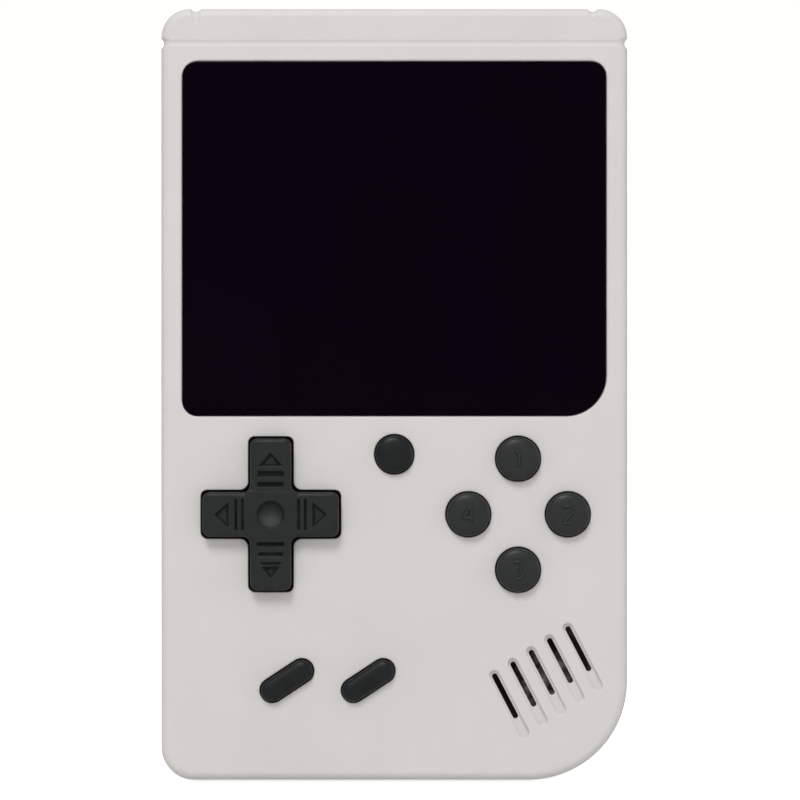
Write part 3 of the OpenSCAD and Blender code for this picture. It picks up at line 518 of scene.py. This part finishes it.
def loft(name, rings, sharp=SMOOTH, caps=False):
    """A closed skin through an array of rings by points by 3; caps close the first and last ring flat."""
    rings = np.asarray(rings)
    count, size = rings.shape[:2]
    faces = ring_faces(count, size)
    if caps:
        faces += [list(range(size)), list(range((count - 1) * size, count * size))]
    mesh = bpy.data.meshes.new(name)
    mesh.from_pydata(stand(rings.reshape(-1, 3)).tolist(), [], faces)
    tidy(mesh, sharp)
    return mesh


print("two rings of four points are joined by", len(ring_faces(2, 4)), "quads")


# %% Pieces in the scene
def show(name, mesh, body, slot, *stands_for):
    """Puts a mesh into the scene as a piece on a body, with its finish and the nodes it stands for."""
    piece = bpy.data.objects.new(name, mesh)
    scene.collection.objects.link(piece)
    mesh.materials.clear()
    mesh.materials.append(finishes[slot])
    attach(piece, body)
    if stands_for:
        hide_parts(*stands_for)
    return piece


# %% Outlines
def arc(x, y, radius, start, end, steps):
    """Points of an arc about (x, y), by angles in degrees."""
    angle = np.radians(np.linspace(start, end, steps))
    return np.stack([x + radius * np.cos(angle), y + radius * np.sin(angle)], -1)


def box_corners(low, high):
    """The corners of a box seen from the front, walked anticlockwise from the lower left."""
    return [low[:2], (high[0], low[1]), high[:2], (low[0], high[1])]


def rounded_outline(corners, radii, steps=12):
    """Points and outward normals of a polygon, walked anticlockwise, with an arc at each corner.

    An arc's centre lies a radius inside both edges that meet at an outer corner, and a radius
    outside them at an inner one. Its normals turn from the first edge's to the second's."""
    corners, radii = np.asarray(corners, float), np.asarray(radii, float)
    out = np.roll(corners, -1, 0) - corners
    angle = np.arctan2(-out[:, 0], out[:, 1])
    before = np.roll(angle, 1)
    sweep = (angle - before + np.pi) % (2 * np.pi) - np.pi
    turn = before[:, None] + sweep[:, None] * np.linspace(0, 1, steps)
    normal = np.stack([np.cos(turn), np.sin(turn)], -1)
    first, last = normal[:, 0], normal[:, -1]
    radius = (np.sign(sweep) * radii)[:, None]
    centre = corners - radius * (first + last) / (1 + (first * last).sum(-1))[:, None]
    return (centre[:, None] + radius[:, None] * normal).reshape(-1, 2), normal.reshape(-1, 2)


def stadium(length, width, steps=24):
    """Points and normals of a bar with round ends: two half circles about the ends of its spine."""
    angle = np.linspace(-np.pi / 2, np.pi / 2, steps)
    angle = np.concatenate([angle, angle + np.pi])
    normal = np.stack([np.cos(angle), np.sin(angle)], -1)
    spine = np.repeat([(length - width) / 2, (width - length) / 2], steps)
    return normal * width / 2 + np.stack([spine, 0 * spine], -1), normal


print("a bar with round ends has", len(stadium(2, 1)[0]), "points")

# %% Rings
FULL_TURN = np.linspace(0, 2 * np.pi, 96, endpoint=False)


def at_height(outline, normal, reach, height):
    """Rings of an outline let out by each reach at each height."""
    reach, height = np.asarray(reach, float), np.asarray(height, float)
    flat = outline[None] + reach[:, None, None] * normal[None]
    return np.concatenate([flat, np.broadcast_to(height[:, None, None], (*flat.shape[:2], 1))], -1)


def revolved(profile, centre, angle=FULL_TURN):
    """Rings of a profile of (radius, height) carried round the axis through a centre."""
    radius, height = np.asarray(profile, float).T
    x = centre[0] + radius[:, None] * np.cos(angle)
    y = centre[1] + radius[:, None] * np.sin(angle)
    return np.stack([x, y, np.broadcast_to(height[:, None], x.shape)], -1)


def respaced(points, spacing, endpoint=True):
    """Points about one spacing apart along a line; columns after x and y are carried along."""
    run = np.append(0, np.cumsum(np.hypot(*np.diff(points[:, :2], axis=0).T)))
    there = np.linspace(0, run[-1], round(run[-1] / spacing), endpoint=endpoint)
    return np.stack([np.interp(there, run, column) for column in points.T], -1)


print("a turned ring has", len(FULL_TURN), "points")

# %% [markdown]
# ## Shells with soft edges
# Real moulded edges are never knife sharp. The shells have many cut-outs, so a formula for the
# whole skin would hide more than it shows: a merged copy of the CAD mesh keeps every cut-out. On
# the front, a narrow strip is inset along the rims of the face, so that a Bevel modifier has clean
# edges to slide along, and it rounds just the sharp edges in that face, up to a line above the
# lens. The rear shell and the door stay plain copies. On all three, normals that lean towards the
# larger face keep the flats flat.

# %% Merged copies
FRONT_SHARP, REAR_SHARP = 25, 18


def merged(node, sharp):
    """A copy of a node's mesh with its doubled points merged; its faces already look outwards."""
    mesh = nodes[node].data.copy()
    tidy(mesh, sharp, turn_out=False)
    return mesh


def moulded(node, mesh):
    """Shows a shell's copy, with normals that lean towards the larger face so that flats stay flat."""
    piece = show(node + "_moulded", mesh, nodes[node]["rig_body"], "shell_plastic", node)
    piece.modifiers.new("flat faces", "WEIGHTED_NORMAL").keep_sharp = True
    return piece


front = merged("front_shell", FRONT_SHARP)
print("the front shell's copy has", len(front.vertices), "points")

# %% A strip along the rims of the face
STRIP = 0.3
FLAT = math.radians(0.5)
FACING = 0.999
ON_FACE = 0.01 * MM
OVER_LENS = 1.0
lens_low, lens_high = bench_box("screen_lens")
face_y = (depth / 2 - front_z) * MM
line_z = (lens_high[1] + OVER_LENS) * MM


def in_face(work):
    """The faces of a bmesh that lie in the front face of the shell."""
    return [face for face in work.faces
            if abs(face.normal.y) > FACING and abs(face.calc_center_median().y - face_y) < ON_FACE]


work = bmesh.new()
work.from_mesh(front)
bmesh.ops.dissolve_limit(work, angle_limit=FLAT, verts=work.verts, edges=work.edges, delimit={"SHARP"})
around = dict.fromkeys(part for face in in_face(work) for part in (face, *face.edges, *face.verts))
bmesh.ops.bisect_plane(work, geom=list(around), plane_co=(0, 0, line_z), plane_no=(0, 0, 1))
inset = [face for face in in_face(work) if face.calc_center_median().z < line_z]
bmesh.ops.inset_region(work, faces=inset, thickness=STRIP * MM, use_even_offset=False)
work.to_mesh(front)
work.free()
front.set_sharp_from_angle(angle=math.radians(FRONT_SHARP))
print("a strip of", STRIP, "mm runs round", len(inset), "faces")

# %% Edges to round
points = np.empty(len(front.vertices) * 3, np.float32)
front.vertices.foreach_get("co", points)
ends = np.empty(len(front.edges) * 2, np.int32)
front.edges.foreach_get("vertices", ends)
sharp = np.empty(len(front.edges), bool)
front.attributes["sharp_edge"].data.foreach_get("value", sharp)
inside = (np.abs(points[1::3] - face_y) < ON_FACE) & (points[2::3] < line_z)
chosen = sharp & inside[ends].reshape(-1, 2).all(-1)
weight = front.attributes.new("bevel_weight_edge", "FLOAT", "EDGE")
weight.data.foreach_set("value", chosen.astype(np.float32))
print(int(chosen.sum()), "edges of the front shell are to be rounded")

# %% The shells
EDGE_ROUND = 0.16
EDGE_STEPS = 3
front_piece = moulded("front_shell", front)
rounding = front_piece.modifiers.new("moulded edge", "BEVEL")
front_piece.modifiers.move(1, 0)
rounding.limit_method = "WEIGHT"
rounding.width = EDGE_ROUND * MM
rounding.segments = EDGE_STEPS
rounding.use_clamp_overlap = False
rounding.harden_normals = True
for node in ("rear_shell", "battery_door"):
    moulded(node, merged(node, REAR_SHARP))
print("the front shell, the rear shell and the door are in the scene")

# %% [markdown]
# ## The lens
# The lens is a sheet with one large corner radius above the face buttons. Rings of its outline,
# with a quarter circle drawn in at the top, give it the polished edge of a cut sheet.

# %% Screen lens
LENS_CORNER = 2.2
LENS_BIG_CORNER = 6.0
LENS_EDGE = 0.18
lens_radii = [LENS_CORNER, LENS_BIG_CORNER, LENS_CORNER, LENS_CORNER]
outline, normal = rounded_outline(box_corners(lens_low, lens_high), lens_radii, steps=16)
edge = arc(-LENS_EDGE, lens_high[2] - LENS_EDGE, LENS_EDGE, 0, 90, 6)
rings = at_height(outline, normal, [0, *edge[:, 0]], [lens_low[2], *edge[:, 1]])
show("lens_sheet", loft("lens_sheet", rings, caps=True), "console", "lens_black", "screen_lens")
print(f"lens of {lens_high[0] - lens_low[0]:.1f} by {lens_high[1] - lens_low[1]:.1f} mm")

# %% [markdown]
# ## The D-pad
# The cross is the hardest shape here. Its outline is a plus with round corners, and every ray from
# its middle meets that outline once, so the outline shrunk towards the middle gives rings for the
# whole top. Their heights come from one function for the dish, the dimple, the bars and the arrows.

# %% Bars and arrows on the D-pad
MARK_SOFT = 0.4
SIDE_BAR = (0.5, 4.8)
SIDE_BARS_AT = (4.2, 5.2)
UPPER_BARS = [((0, 4.5), (4.0, 0.85)), ((0, 6.1), (4.0, 0.95))]
LOWER_BARS = [((0, -4.45), (4.2, 0.75)), ((0, -5.95), (3.8, 0.7)), ((0, -7.3), (3.2, 0.45))]
SIDE_ARROW = {"base": 6.25, "length": 2.3, "half": 2.0}
UPPER_ARROW = {"base": 7.2, "length": 2.2, "half": 1.9}
LOWER_ARROW = {"base": 7.75, "length": 1.8, "half": 1.5}


def bar(x, y, place, size):
    """0 outside a rectangle about a place, and up a slope to 1 inside it."""
    away = np.maximum(np.abs(x - place[0]) - size[0] / 2, np.abs(y - place[1]) - size[1] / 2)
    return np.clip(-away / MARK_SOFT, 0, 1)


def arrow(along, across, base, length, half):
    """The same for a triangle that starts at base, is 2 half wide there and ends length further on."""
    slope = np.abs(across) - half * (1 - (along - base) / length)
    away = np.maximum(base - along, slope * length / math.hypot(length, half))
    return np.clip(-away / MARK_SOFT, 0, 1)


def pad_marks(x, y):
    """1 inside the marks and 0 outside them; those on the left arm mirror those on the right."""
    side = np.abs(x)
    marks = [bar(side, y, (reach, 0), SIDE_BAR) for reach in SIDE_BARS_AT]
    marks += [bar(x, y, place, size) for place, size in UPPER_BARS + LOWER_BARS]
    marks += [arrow(side, y, **SIDE_ARROW), arrow(y, x, **UPPER_ARROW), arrow(-y, x, **LOWER_ARROW)]
    return np.clip(sum(marks), 0, 1)


print(2 * len(SIDE_BARS_AT) + len(UPPER_BARS + LOWER_BARS), "bars and four arrows on the D-pad")

# %% Heights of the D-pad's top
PAD_DISH, PAD_DISH_R = 0.15, 7.5
PAD_STEP, PAD_STEP_SIZE = 0.1, (7.5, 7.3)
DIMPLE_DEPTH = 1.25
MARK_DEPTH = 0.62
pad_low, pad_high = bench_box("dpad")
pad_mid = middle("dpad")


def pad_height(x, y):
    """Height of the top: a shallow dish with a low square step in it, less the marks and a dimple.

    The dimple is part of a ball, so its depth at a distance comes from Pythagoras."""
    away = np.hypot(x, y)
    dish = PAD_DISH * np.clip(1 - (away / PAD_DISH_R) ** 2, 0, 1)
    dish = dish - PAD_STEP * bar(x, y, (0, 0), PAD_STEP_SIZE)
    ball = (DIMPLE_R ** 2 + DIMPLE_DEPTH ** 2) / (2 * DIMPLE_DEPTH)
    dimple = np.maximum(np.sqrt(np.maximum(ball ** 2 - away ** 2, 0)) - ball + DIMPLE_DEPTH, 0)
    return pad_high[2] - PAD_STEP - dish - dimple - MARK_DEPTH * pad_marks(x, y)


print(f"the middle of the D-pad lies {pad_high[2] - pad_height(0, 0):.2f} mm below its top")

# %% Rings of the D-pad's top
PAD_FOOT = 1.1
PAD_ARM = (6.15, 6.65)
PAD_CORNER = 1.1
PAD_FILLET = 1.1
PAD_EDGE = 0.6
PAD_SPACING = 0.125
PAD_RINGS = 120
PAD_FIRST_RING = 0.015
end_x, end_y = (pad_high - pad_low)[:2] / 2 - PAD_FOOT
arm_x, arm_y = np.array(PAD_ARM) / 2
half_plus = np.array([(end_x, arm_y), (arm_x, arm_y), (arm_x, end_y),
                      (-arm_x, end_y), (-arm_x, arm_y), (-end_x, arm_y)])
outline, normal = rounded_outline(np.concatenate([half_plus, -half_plus]),
                                  [PAD_CORNER, PAD_FILLET, PAD_CORNER] * 4)
closed = np.concatenate([outline, normal], -1)
closed = respaced(np.concatenate([closed, closed[:1]]), PAD_SPACING, endpoint=False)
plus = closed[:, :2]
plus_normal = closed[:, 2:] / np.linalg.norm(closed[:, 2:], axis=-1, keepdims=True)
shrunk = np.append(0, np.linspace(PAD_FIRST_RING, 1, PAD_RINGS - 1))
top = shrunk[:, None, None] * (plus - PAD_EDGE * plus_normal)
top = np.concatenate([top, pad_height(top[..., 0], top[..., 1])[..., None]], -1)
print(PAD_RINGS, "rings of", len(plus), "points for the top")

# %% D-pad
KEY_SMOOTH = 50
PAD_FOOT_Z = (15.7, 16.8)
FOOT_PLAY = 0.1
FOOT_REACH = PAD_FOOT - FOOT_PLAY
SOCKET_R = 3.5
SOCKET_BALL_R = 2.32
SOCKET_LAST = 78
ball_z = middle("dpad_pivot_ball")[2]
fall = arc(0, 0, PAD_EDGE, 90, 0, 8)[1:]
edge = at_height(plus, plus_normal, fall[:, 0] - PAD_EDGE, fall[:, 1] - PAD_EDGE)
edge[..., 2] += top[-1, :, 2]
skirt = at_height(plus, plus_normal, [0, FOOT_REACH, FOOT_REACH],
                  [PAD_FOOT_Z[1], PAD_FOOT_Z[1], PAD_FOOT_Z[0]])
mouth = math.degrees(math.asin((pad_low[2] - ball_z) / SOCKET_BALL_R))
socket = [(SOCKET_R, PAD_FOOT_Z[0]), (SOCKET_R, pad_low[2]),
          *arc(0, ball_z, SOCKET_BALL_R, mouth, SOCKET_LAST, 12), (0, ball_z + SOCKET_BALL_R)]
socket = revolved(socket, (0, 0), np.arctan2(plus[:, 1], plus[:, 0]))
rings = np.concatenate([top, edge, skirt, socket])
rings[..., :2] += pad_mid[:2]
pad = show("dpad_cross", loft("dpad_cross", rings, KEY_SMOOTH), "dpad", "key_plastic", "dpad")
print("the cross has", len(pad.data.polygons), "faces")

# %% [markdown]
# ## Round keys
# A pressed-plastic key has no edge at all between its top and its wall. The curve for which the
# shares of radius and of height, each raised to a power, add up to one, gives that: a higher power
# makes a flatter top. Below it the key has the collar that keeps it from falling out.

# %% Face and reset buttons
COLLAR_OVER = 1.1
COLLAR_Z = (17.1, 18.1)
CAP_RINGS = 24
FACE_CAP = {"drop": 1.15, "power": 3.0}
RESET_CAP = {"drop": 1.0, "power": 2.6}


def cap_shares(rings):
    """Shares of the radius from 0 to 1, closer together towards the wall, by a sine."""
    return np.sin(np.linspace(0, np.pi / 2, rings))


def fallen(share, power):
    """Share of its drop that a cap has fallen at a share of its radius.

    That share of the radius and the share of height that is left, each to the power, add up to 1."""
    return 1 - (1 - share ** power) ** (1 / power)


def round_key(node, drop, power):
    """A domed cap, a straight wall, a collar and a flat foot, turned about the node's axis."""
    low, high = bench_box(node)
    collar = (high - low)[0] / 2
    radius = collar - COLLAR_OVER
    share = cap_shares(CAP_RINGS)
    profile = [*zip(radius * share, high[2] - drop * fallen(share, power)),
               (radius, COLLAR_Z[1]), (collar, COLLAR_Z[1]), (collar, COLLAR_Z[0]), (radius, COLLAR_Z[0]),
               (radius, low[2]), (0, low[2])]
    rings = revolved(profile, middle(node))
    show(node + "_cap", loft(node + "_cap", rings, KEY_SMOOTH), node, "key_plastic", node)


face_keys = ["face_button_top", "face_button_right", "face_button_bottom", "face_button_left"]
for node in face_keys:
    round_key(node, **FACE_CAP)
round_key("reset_button", **RESET_CAP)
print(len(face_keys) + 1, "round keys")

# %% [markdown]
# ## Numbers on the face buttons
# Each face button carries a small raised mark for the thumb to find. Here they are plain numbers,
# drawn as strokes and swept into low beads that follow the dome, so that each one rides on its
# button as a moulded mark does.

# %% A bead along a stroke
BEAD_HALF, BEAD_RISE = 0.27, 0.25
BEAD_POINTS = 10
BEAD_SMOOTH = 60
STROKE_STEP = 0.09
BLUR = 5


def blurred(path):
    """The same path with each point at the mean of its neighbours, which rounds the bends."""
    padded = np.pad(path, ((BLUR // 2, BLUR // 2), (0, 0)), "edge")
    return sum(padded[i:i + len(path)] for i in range(BLUR)) / BLUR


def bead(name, stroke, node, drop, power):
    """A low tube along a stroke on a cap: ellipses across it, drawn to a point at both ends."""
    low, high = bench_box(node)
    radius = (high - low)[0] / 2 - COLLAR_OVER
    path = blurred(respaced(stroke, STROKE_STEP))
    along = np.gradient(path, axis=0)
    across = np.stack([-along[:, 1], along[:, 0]], -1) / np.hypot(*along.T)[:, None]
    count = np.arange(len(path))
    end = np.clip(np.minimum(count, count[::-1]) * STROKE_STEP / BEAD_HALF, 0, 1)
    swell = np.sqrt(end * (2 - end))[:, None]
    angle = np.linspace(0, 2 * np.pi, BEAD_POINTS, endpoint=False)
    flat = path[:, None] + BEAD_HALF * (swell * np.cos(angle))[..., None] * across[:, None]
    share = np.clip(np.hypot(*np.moveaxis(flat, -1, 0)) / radius, 0, 1)
    height = high[2] - drop * fallen(share, power) + BEAD_RISE * swell * np.sin(angle)
    rings = np.concatenate([flat + middle(node)[:2], height[..., None]], -1)
    show(name, loft(name, rings, BEAD_SMOOTH), node, "key_plastic")


print("a bead is", 2 * BEAD_HALF, "mm wide")

# %% Raised numbers
strokes = [
    np.array([(-0.5, 0.8), (0.1, 1.3), (0.1, -1.3)]),
    np.concatenate([arc(0, 0.56, 0.74, 165, -30, 12), [(-0.8, -1.3), (0.85, -1.3)]]),
    np.concatenate([arc(-0.05, 0.64, 0.66, 155, -64, 12), arc(-0.05, -0.6, 0.72, 64, -155, 12)]),
    np.array([(0.4, -1.3), (0.4, 1.3), (-0.85, -0.5), (0.9, -0.5)]),
]
for number, (node, stroke) in enumerate(zip(face_keys, strokes), 1):
    bead(f"number_{number}", stroke, node, **FACE_CAP)
print(len(strokes), "raised numbers")

# %% [markdown]
# ## Slanted pills
# The two menu keys are bars with round ends. The same cap curve is used, but its rings run in to
# the bar's spine instead of to a point.

# %% Pill keys
PILL = (8.7, 3.35)
PILL_SLANT = math.radians(33.5)
PILL_RINGS = 22
PILL_DROP, PILL_POWER = 1.0, 2.4
cosine, sine = math.cos(PILL_SLANT), math.sin(PILL_SLANT)
slant = np.array([(cosine, sine), (-sine, cosine)])
pill, pill_normal = (part @ slant for part in stadium(*PILL))
share = cap_shares(PILL_RINGS)
menu_keys = ["select_button", "start_button"]
for node in menu_keys:
    low, high = bench_box(node)
    reaches = [*(PILL[1] / 2 * (share - 1)), 0, COLLAR_OVER, COLLAR_OVER, 0, 0, -PILL[1] / 2]
    heights = [*(high[2] - PILL_DROP * fallen(share, PILL_POWER)),
               COLLAR_Z[1], COLLAR_Z[1], COLLAR_Z[0], COLLAR_Z[0], low[2], low[2]]
    rings = at_height(pill + middle(node)[:2], pill_normal, reaches, heights)
    show(node + "_pill", loft(node + "_pill", rings, KEY_SMOOTH), node, "key_plastic", node)
print(len(menu_keys), "pills of", PILL, "mm")

# %% [markdown]
# ## Silicone mats
# Under every key a silicone dome springs it back.

# %% Webs
WEB_T = 0.8
WEB_EDGE = 0.25
PAD_WEB_HOLE_R = 4.1
web_low = bench_box("face_button_mat")[0][2]
web_high = web_low + WEB_T
web_edge = arc(-WEB_EDGE, web_high - WEB_EDGE, WEB_EDGE, 0, 90, 5)


def web(name, node, inner=0.0):
    """A round web with a soft upper edge, and a hole where inner is more than nothing."""
    low, high = bench_box(node)
    outer = (high - low)[0] / 2
    profile = [(inner, web_low), (outer, web_low), *(web_edge + [outer, 0]),
               (inner, web_high), (inner, web_low)]
    show(name, loft(name, revolved(profile, middle(node))), "console", "mat_silicone", node)


web("dpad_web", "dpad_mat", PAD_WEB_HOLE_R)
web("face_web", "face_button_mat")
web("reset_web", "reset_mat")
menu_low, menu_high = bench_box("menu_button_mat")
menu, menu_normal = stadium(*(menu_high - menu_low)[:2])
menu = menu + middle("menu_button_mat")[:2]
rings = at_height(menu, menu_normal, [0, *web_edge[:, 0]], [web_low, *web_edge[:, 1]])
show("menu_web", loft("menu_web", rings, caps=True), "console", "mat_silicone", "menu_button_mat")
print("four webs,", WEB_T, "mm thick")

# %% A dome
DOME_SHOULDER = 0.35
SKIRT_POWER = 1.7


def dome(name, centre, foot, tip, high, joint, press):
    """A soft dome whose skirt leans in from its foot to its tip by a power of the height left.

    The joint is not used; the press is only printed, and the dome is not flattened."""
    lean = np.linspace(0, 1, 8)
    radius = tip + (foot - tip) * (1 - lean) ** SKIRT_POWER
    height = web_high + (high - DOME_SHOULDER - web_high) * lean
    shoulder = arc(tip - DOME_SHOULDER, high - DOME_SHOULDER, DOME_SHOULDER, 0, 90, 6)[1:]
    profile = [(0, web_high), *zip(radius, height), *shoulder, (0, high)]
    piece = show(name, loft(name, revolved(profile, centre), KEY_SMOOTH), "console", "mat_silicone")
    tall = high - web_high
    (tall - press) / tall
    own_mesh(piece)
    print(f"{name} is {tall:.1f} mm tall and gives way by {press} mm")


print("a dome's shoulder has a radius of", DOME_SHOULDER, "mm")

# %% Domes under the keys
FACE_DOME, MENU_DOME = (2.6, 2.0), (2.1, 1.5)
FACE_PRESS, SMALL_PRESS, PAD_PRESS = 1.2, 1.0, 0.45
PAD_DOME_X, PAD_DOME_Y = 7.4, 8.15
pad_domes = [("up", "dpad_rock_up_down", (0, PAD_DOME_Y)), ("down", "dpad_rock_up_down", (0, -PAD_DOME_Y)),
             ("left", "dpad_rock_left_right", (-PAD_DOME_X, 0)),
             ("right", "dpad_rock_left_right", (PAD_DOME_X, 0))]
face_tip = bench_box("face_button_mat")[1][2]
pad_tip = bench_box("dpad_mat")[1][2]
for node in face_keys:
    dome(node + "_dome", middle(node)[:2], *FACE_DOME, face_tip, node + "_press", FACE_PRESS)
small_domes = [("reset_button", FACE_DOME, face_tip)]
small_domes += [(node, MENU_DOME, menu_high[2]) for node in menu_keys]
for node, radii, tip in small_domes:
    dome(node + "_dome", middle(node)[:2], *radii, tip, node + "_press", SMALL_PRESS)
for word, joint, away in pad_domes:
    dome(f"dpad_{word}_dome", pad_mid[:2] + away, *FACE_DOME, pad_tip, joint, PAD_PRESS)

# %% [markdown]
# ## The thumb wheel
# The volume wheel is a disc with a rounded, knurled rim. Its radius is a function of the angle,
# with one shallow groove for each knurl, and the grooves run straight across from face to face.

# %% Volume wheel
WHEEL_T = 2.2
WHEEL_EDGE = 0.5
WHEEL_SHAFT_R = 1.5
KNURLS = 36
KNURL_POINTS = 12
KNURL_DEPTH = 0.32
wheel_low, wheel_high = bench_box("volume_wheel")
wheel_x, wheel_y, _ = middle("volume_wheel")
wheel_r = (wheel_high - wheel_low)[1] / 2
angle = np.linspace(0, 2 * np.pi, KNURLS * KNURL_POINTS, endpoint=False)
groove = KNURL_DEPTH * (0.5 - 0.5 * np.cos(KNURLS * angle)) ** 2
rim = arc(-WHEEL_EDGE, WHEEL_EDGE, WHEEL_EDGE, -90, 0, 6)
inward = np.concatenate([rim[:, 0], rim[::-1, 0]])
across = np.concatenate([rim[:, 1], WHEEL_T - rim[::-1, 1]])
radius = np.concatenate([[0 * angle], wheel_r + inward[:, None] - groove,
                         np.full((2, len(angle)), WHEEL_SHAFT_R), [0 * angle]])
height = np.concatenate([[0], across, [WHEEL_T], [wheel_high[2] - wheel_low[2]] * 2]) + wheel_low[2]
rings = np.stack([wheel_x + radius * np.cos(angle), wheel_y + radius * np.sin(angle),
                  np.broadcast_to(height[:, None], radius.shape)], -1)
wheel = loft("knurled_wheel", rings, KEY_SMOOTH)
show("knurled_wheel", wheel, "volume_wheel", "key_plastic", "volume_wheel")
print(f"wheel of {2 * wheel_r:.1f} mm with {KNURLS} knurls")

# %% [markdown]
# ## The cell
# A rechargeable cell is a soft pouch or a can in a film, never a block: its edges are round. Rings
# of its outline, drawn in by a quarter circle at both faces, make it so.

# %% Battery
CELL_CORNER = 2.0
CELL_EDGE = 0.9
cell_low, cell_high = bench_box("battery")
outline, normal = rounded_outline(box_corners(cell_low, cell_high), [CELL_CORNER] * 4)
side = np.concatenate([arc(-CELL_EDGE, cell_low[2] + CELL_EDGE, CELL_EDGE, -90, 0, 8),
                       arc(-CELL_EDGE, cell_high[2] - CELL_EDGE, CELL_EDGE, 0, 90, 8)])
rings = at_height(outline, normal, side[:, 0], side[:, 1])
show("battery_cell", loft("battery_cell", rings, caps=True), "console", "battery_wrap", "battery")
print("cell of", np.round(cell_high - cell_low, 1), "mm")

# %% [markdown]
# ## Everything else
# The pieces inside the case and the small metal parts are exact as they are. They keep their CAD
# meshes and take the finish that the record names for them.

# %% Finishes for the CAD nodes
for part in subparts:
    mesh = nodes[part["node"]].data
    mesh.materials.clear()
    mesh.materials.append(finishes[part["material_slot"]])
print(len(subparts), "nodes have a finish")

# %% [markdown]
# ## A plain white studio
# The console is lit as catalogues light small goods: one large softbox above and in front, two weak
# ones on the right and overhead, and a white page behind. The world gives the page and the walls by
# direction alone; the wall in front is the brighter one, for the keys and slots to face. The floor
# glows so that it stays white in the picture, and fades to the grey of the walls far to both sides.
# Light linking keeps its glow off the console, whose lower edge then falls into shade.

# %% World
FRONT_WALL, FRONT_GLOW = (-0.75, -0.25), 0.72
SIDE_GLOW = 0.33
PAGE, PAGE_WHITE = (0.6, 0.9), (1.03, 1.03, 0.99, 1)
world = bpy.data.worlds.new("studio")
scene.world = world
world.use_nodes = True
ways = Wire(world.node_tree.nodes.new("ShaderNodeTexCoord").outputs["Generated"])
ahead = coordinate(ways, "Y")
walls = between(step(ahead, *FRONT_WALL), (FRONT_GLOW, FRONT_GLOW, FRONT_GLOW, 1),
                (0.98 * SIDE_GLOW, SIDE_GLOW, 1.03 * SIDE_GLOW, 1))
glow = between(step(ahead, *PAGE), walls, PAGE_WHITE)
world.node_tree.links.new(glow.socket, world.node_tree.nodes["Background"].inputs["Color"])
print("walls glow by", FRONT_GLOW, "in front and", SIDE_GLOW, "at the sides")

# %% Floor
FLOOR_HALF, FLOOR_Z = 1.6, -0.0004
FLOOR_GLOW = 0.86
FLOOR_FADE = (0.4, 1.3)
FAR_GREY, FAR_GLOW = (0.38, 0.38, 0.38, 1), (0.13, 0.135, 0.145, 1)


def studio_paper(place):
    """White paper that turns to the grey of the walls far to both sides, fast at first and then slowly."""
    fibre = noise(place, 30)
    far = step(abs(coordinate(place, "X")), *FLOOR_FADE)
    far = far * (2 - far)
    white = between(fibre, (0.76, 0.76, 0.755, 1), (0.8, 0.8, 0.795, 1))
    return {"Base Color": between(far, white, FAR_GREY),
            "Emission Color": between(far, (1, 1, 0.99, 1), FAR_GLOW),
            "Roughness": 0.9 + 0.1 * fibre}


finish("studio_paper", studio_paper, Specular_IOR_Level=0.0, Emission_Strength=FLOOR_GLOW)
floor_mesh = bpy.data.meshes.new("studio_floor")
corners = [(x * FLOOR_HALF, y * FLOOR_HALF, FLOOR_Z) for x, y in ((-1, -1), (1, -1), (1, 1), (-1, 1))]
floor_mesh.from_pydata(corners, [], [(0, 1, 2, 3)])
floor_mesh.materials.append(finishes["studio_paper"])
floor = bpy.data.objects.new("studio_floor", floor_mesh)
scene.collection.objects.link(floor)
own_light = bpy.data.collections.new("lit_by_floor")
own_light.objects.link(floor)
floor.light_linking.receiver_collection = own_light

# %% Lights
HEART = (0, 0, 0.058)
WARM, COOL = (1, 0.99, 0.985), (0.98, 0.99, 1)


def softbox(name, place, size, watts, colour):
    """A square area light at a place in metres that faces the middle of the console."""
    lamp = bpy.data.lights.new(name, "AREA")
    lamp.size = size
    lamp.energy = watts
    lamp.color = colour
    light = bpy.data.objects.new(name, lamp)
    light.location = place
    toward = np.subtract(HEART, place)
    light.rotation_euler = (math.acos(-toward[2] / np.linalg.norm(toward)), 0,
                            math.atan2(-toward[0], toward[1]))
    scene.collection.objects.link(light)
    print(f"{name} of {watts} W, {np.linalg.norm(toward):.2f} m away")


softbox("key_light", (-0.28, -0.95, 1.2), size=0.5, watts=11.2, colour=WARM)
softbox("right_light", (0.75, -0.22, 0.2), size=0.25, watts=0.6, colour=COOL)
softbox("top_light", (-0.1, 0.1, 0.9), size=0.4, watts=0.7, colour=COOL)

# %% [markdown]
# ## The camera
# The picture is almost without perspective, so the lens is long and the camera stands well back.
# The frame is as wide as the distance times the sensor's width over the focal length, which gives
# the distance once the width at the front face is known.

# %% Camera
VIEW_WIDTH = 120.0
VIEW_MIDDLE = (0.8625, 57.045)
SENSOR, FOCAL = 36.0, 200.0
distance = VIEW_WIDTH * FOCAL / SENSOR
camera_data = bpy.data.cameras.new("camera")
camera_data.sensor_width = SENSOR
camera_data.lens = FOCAL
camera = bpy.data.objects.new("camera", camera_data)
camera.location = stand((*VIEW_MIDDLE, front_z + distance)).tolist()
camera.rotation_euler = (math.pi / 2, 0, 0)
scene.collection.objects.link(camera)
scene.camera = camera
scene.view_settings.view_transform = "Standard"
print(f"camera {distance:.0f} mm in front of the face")
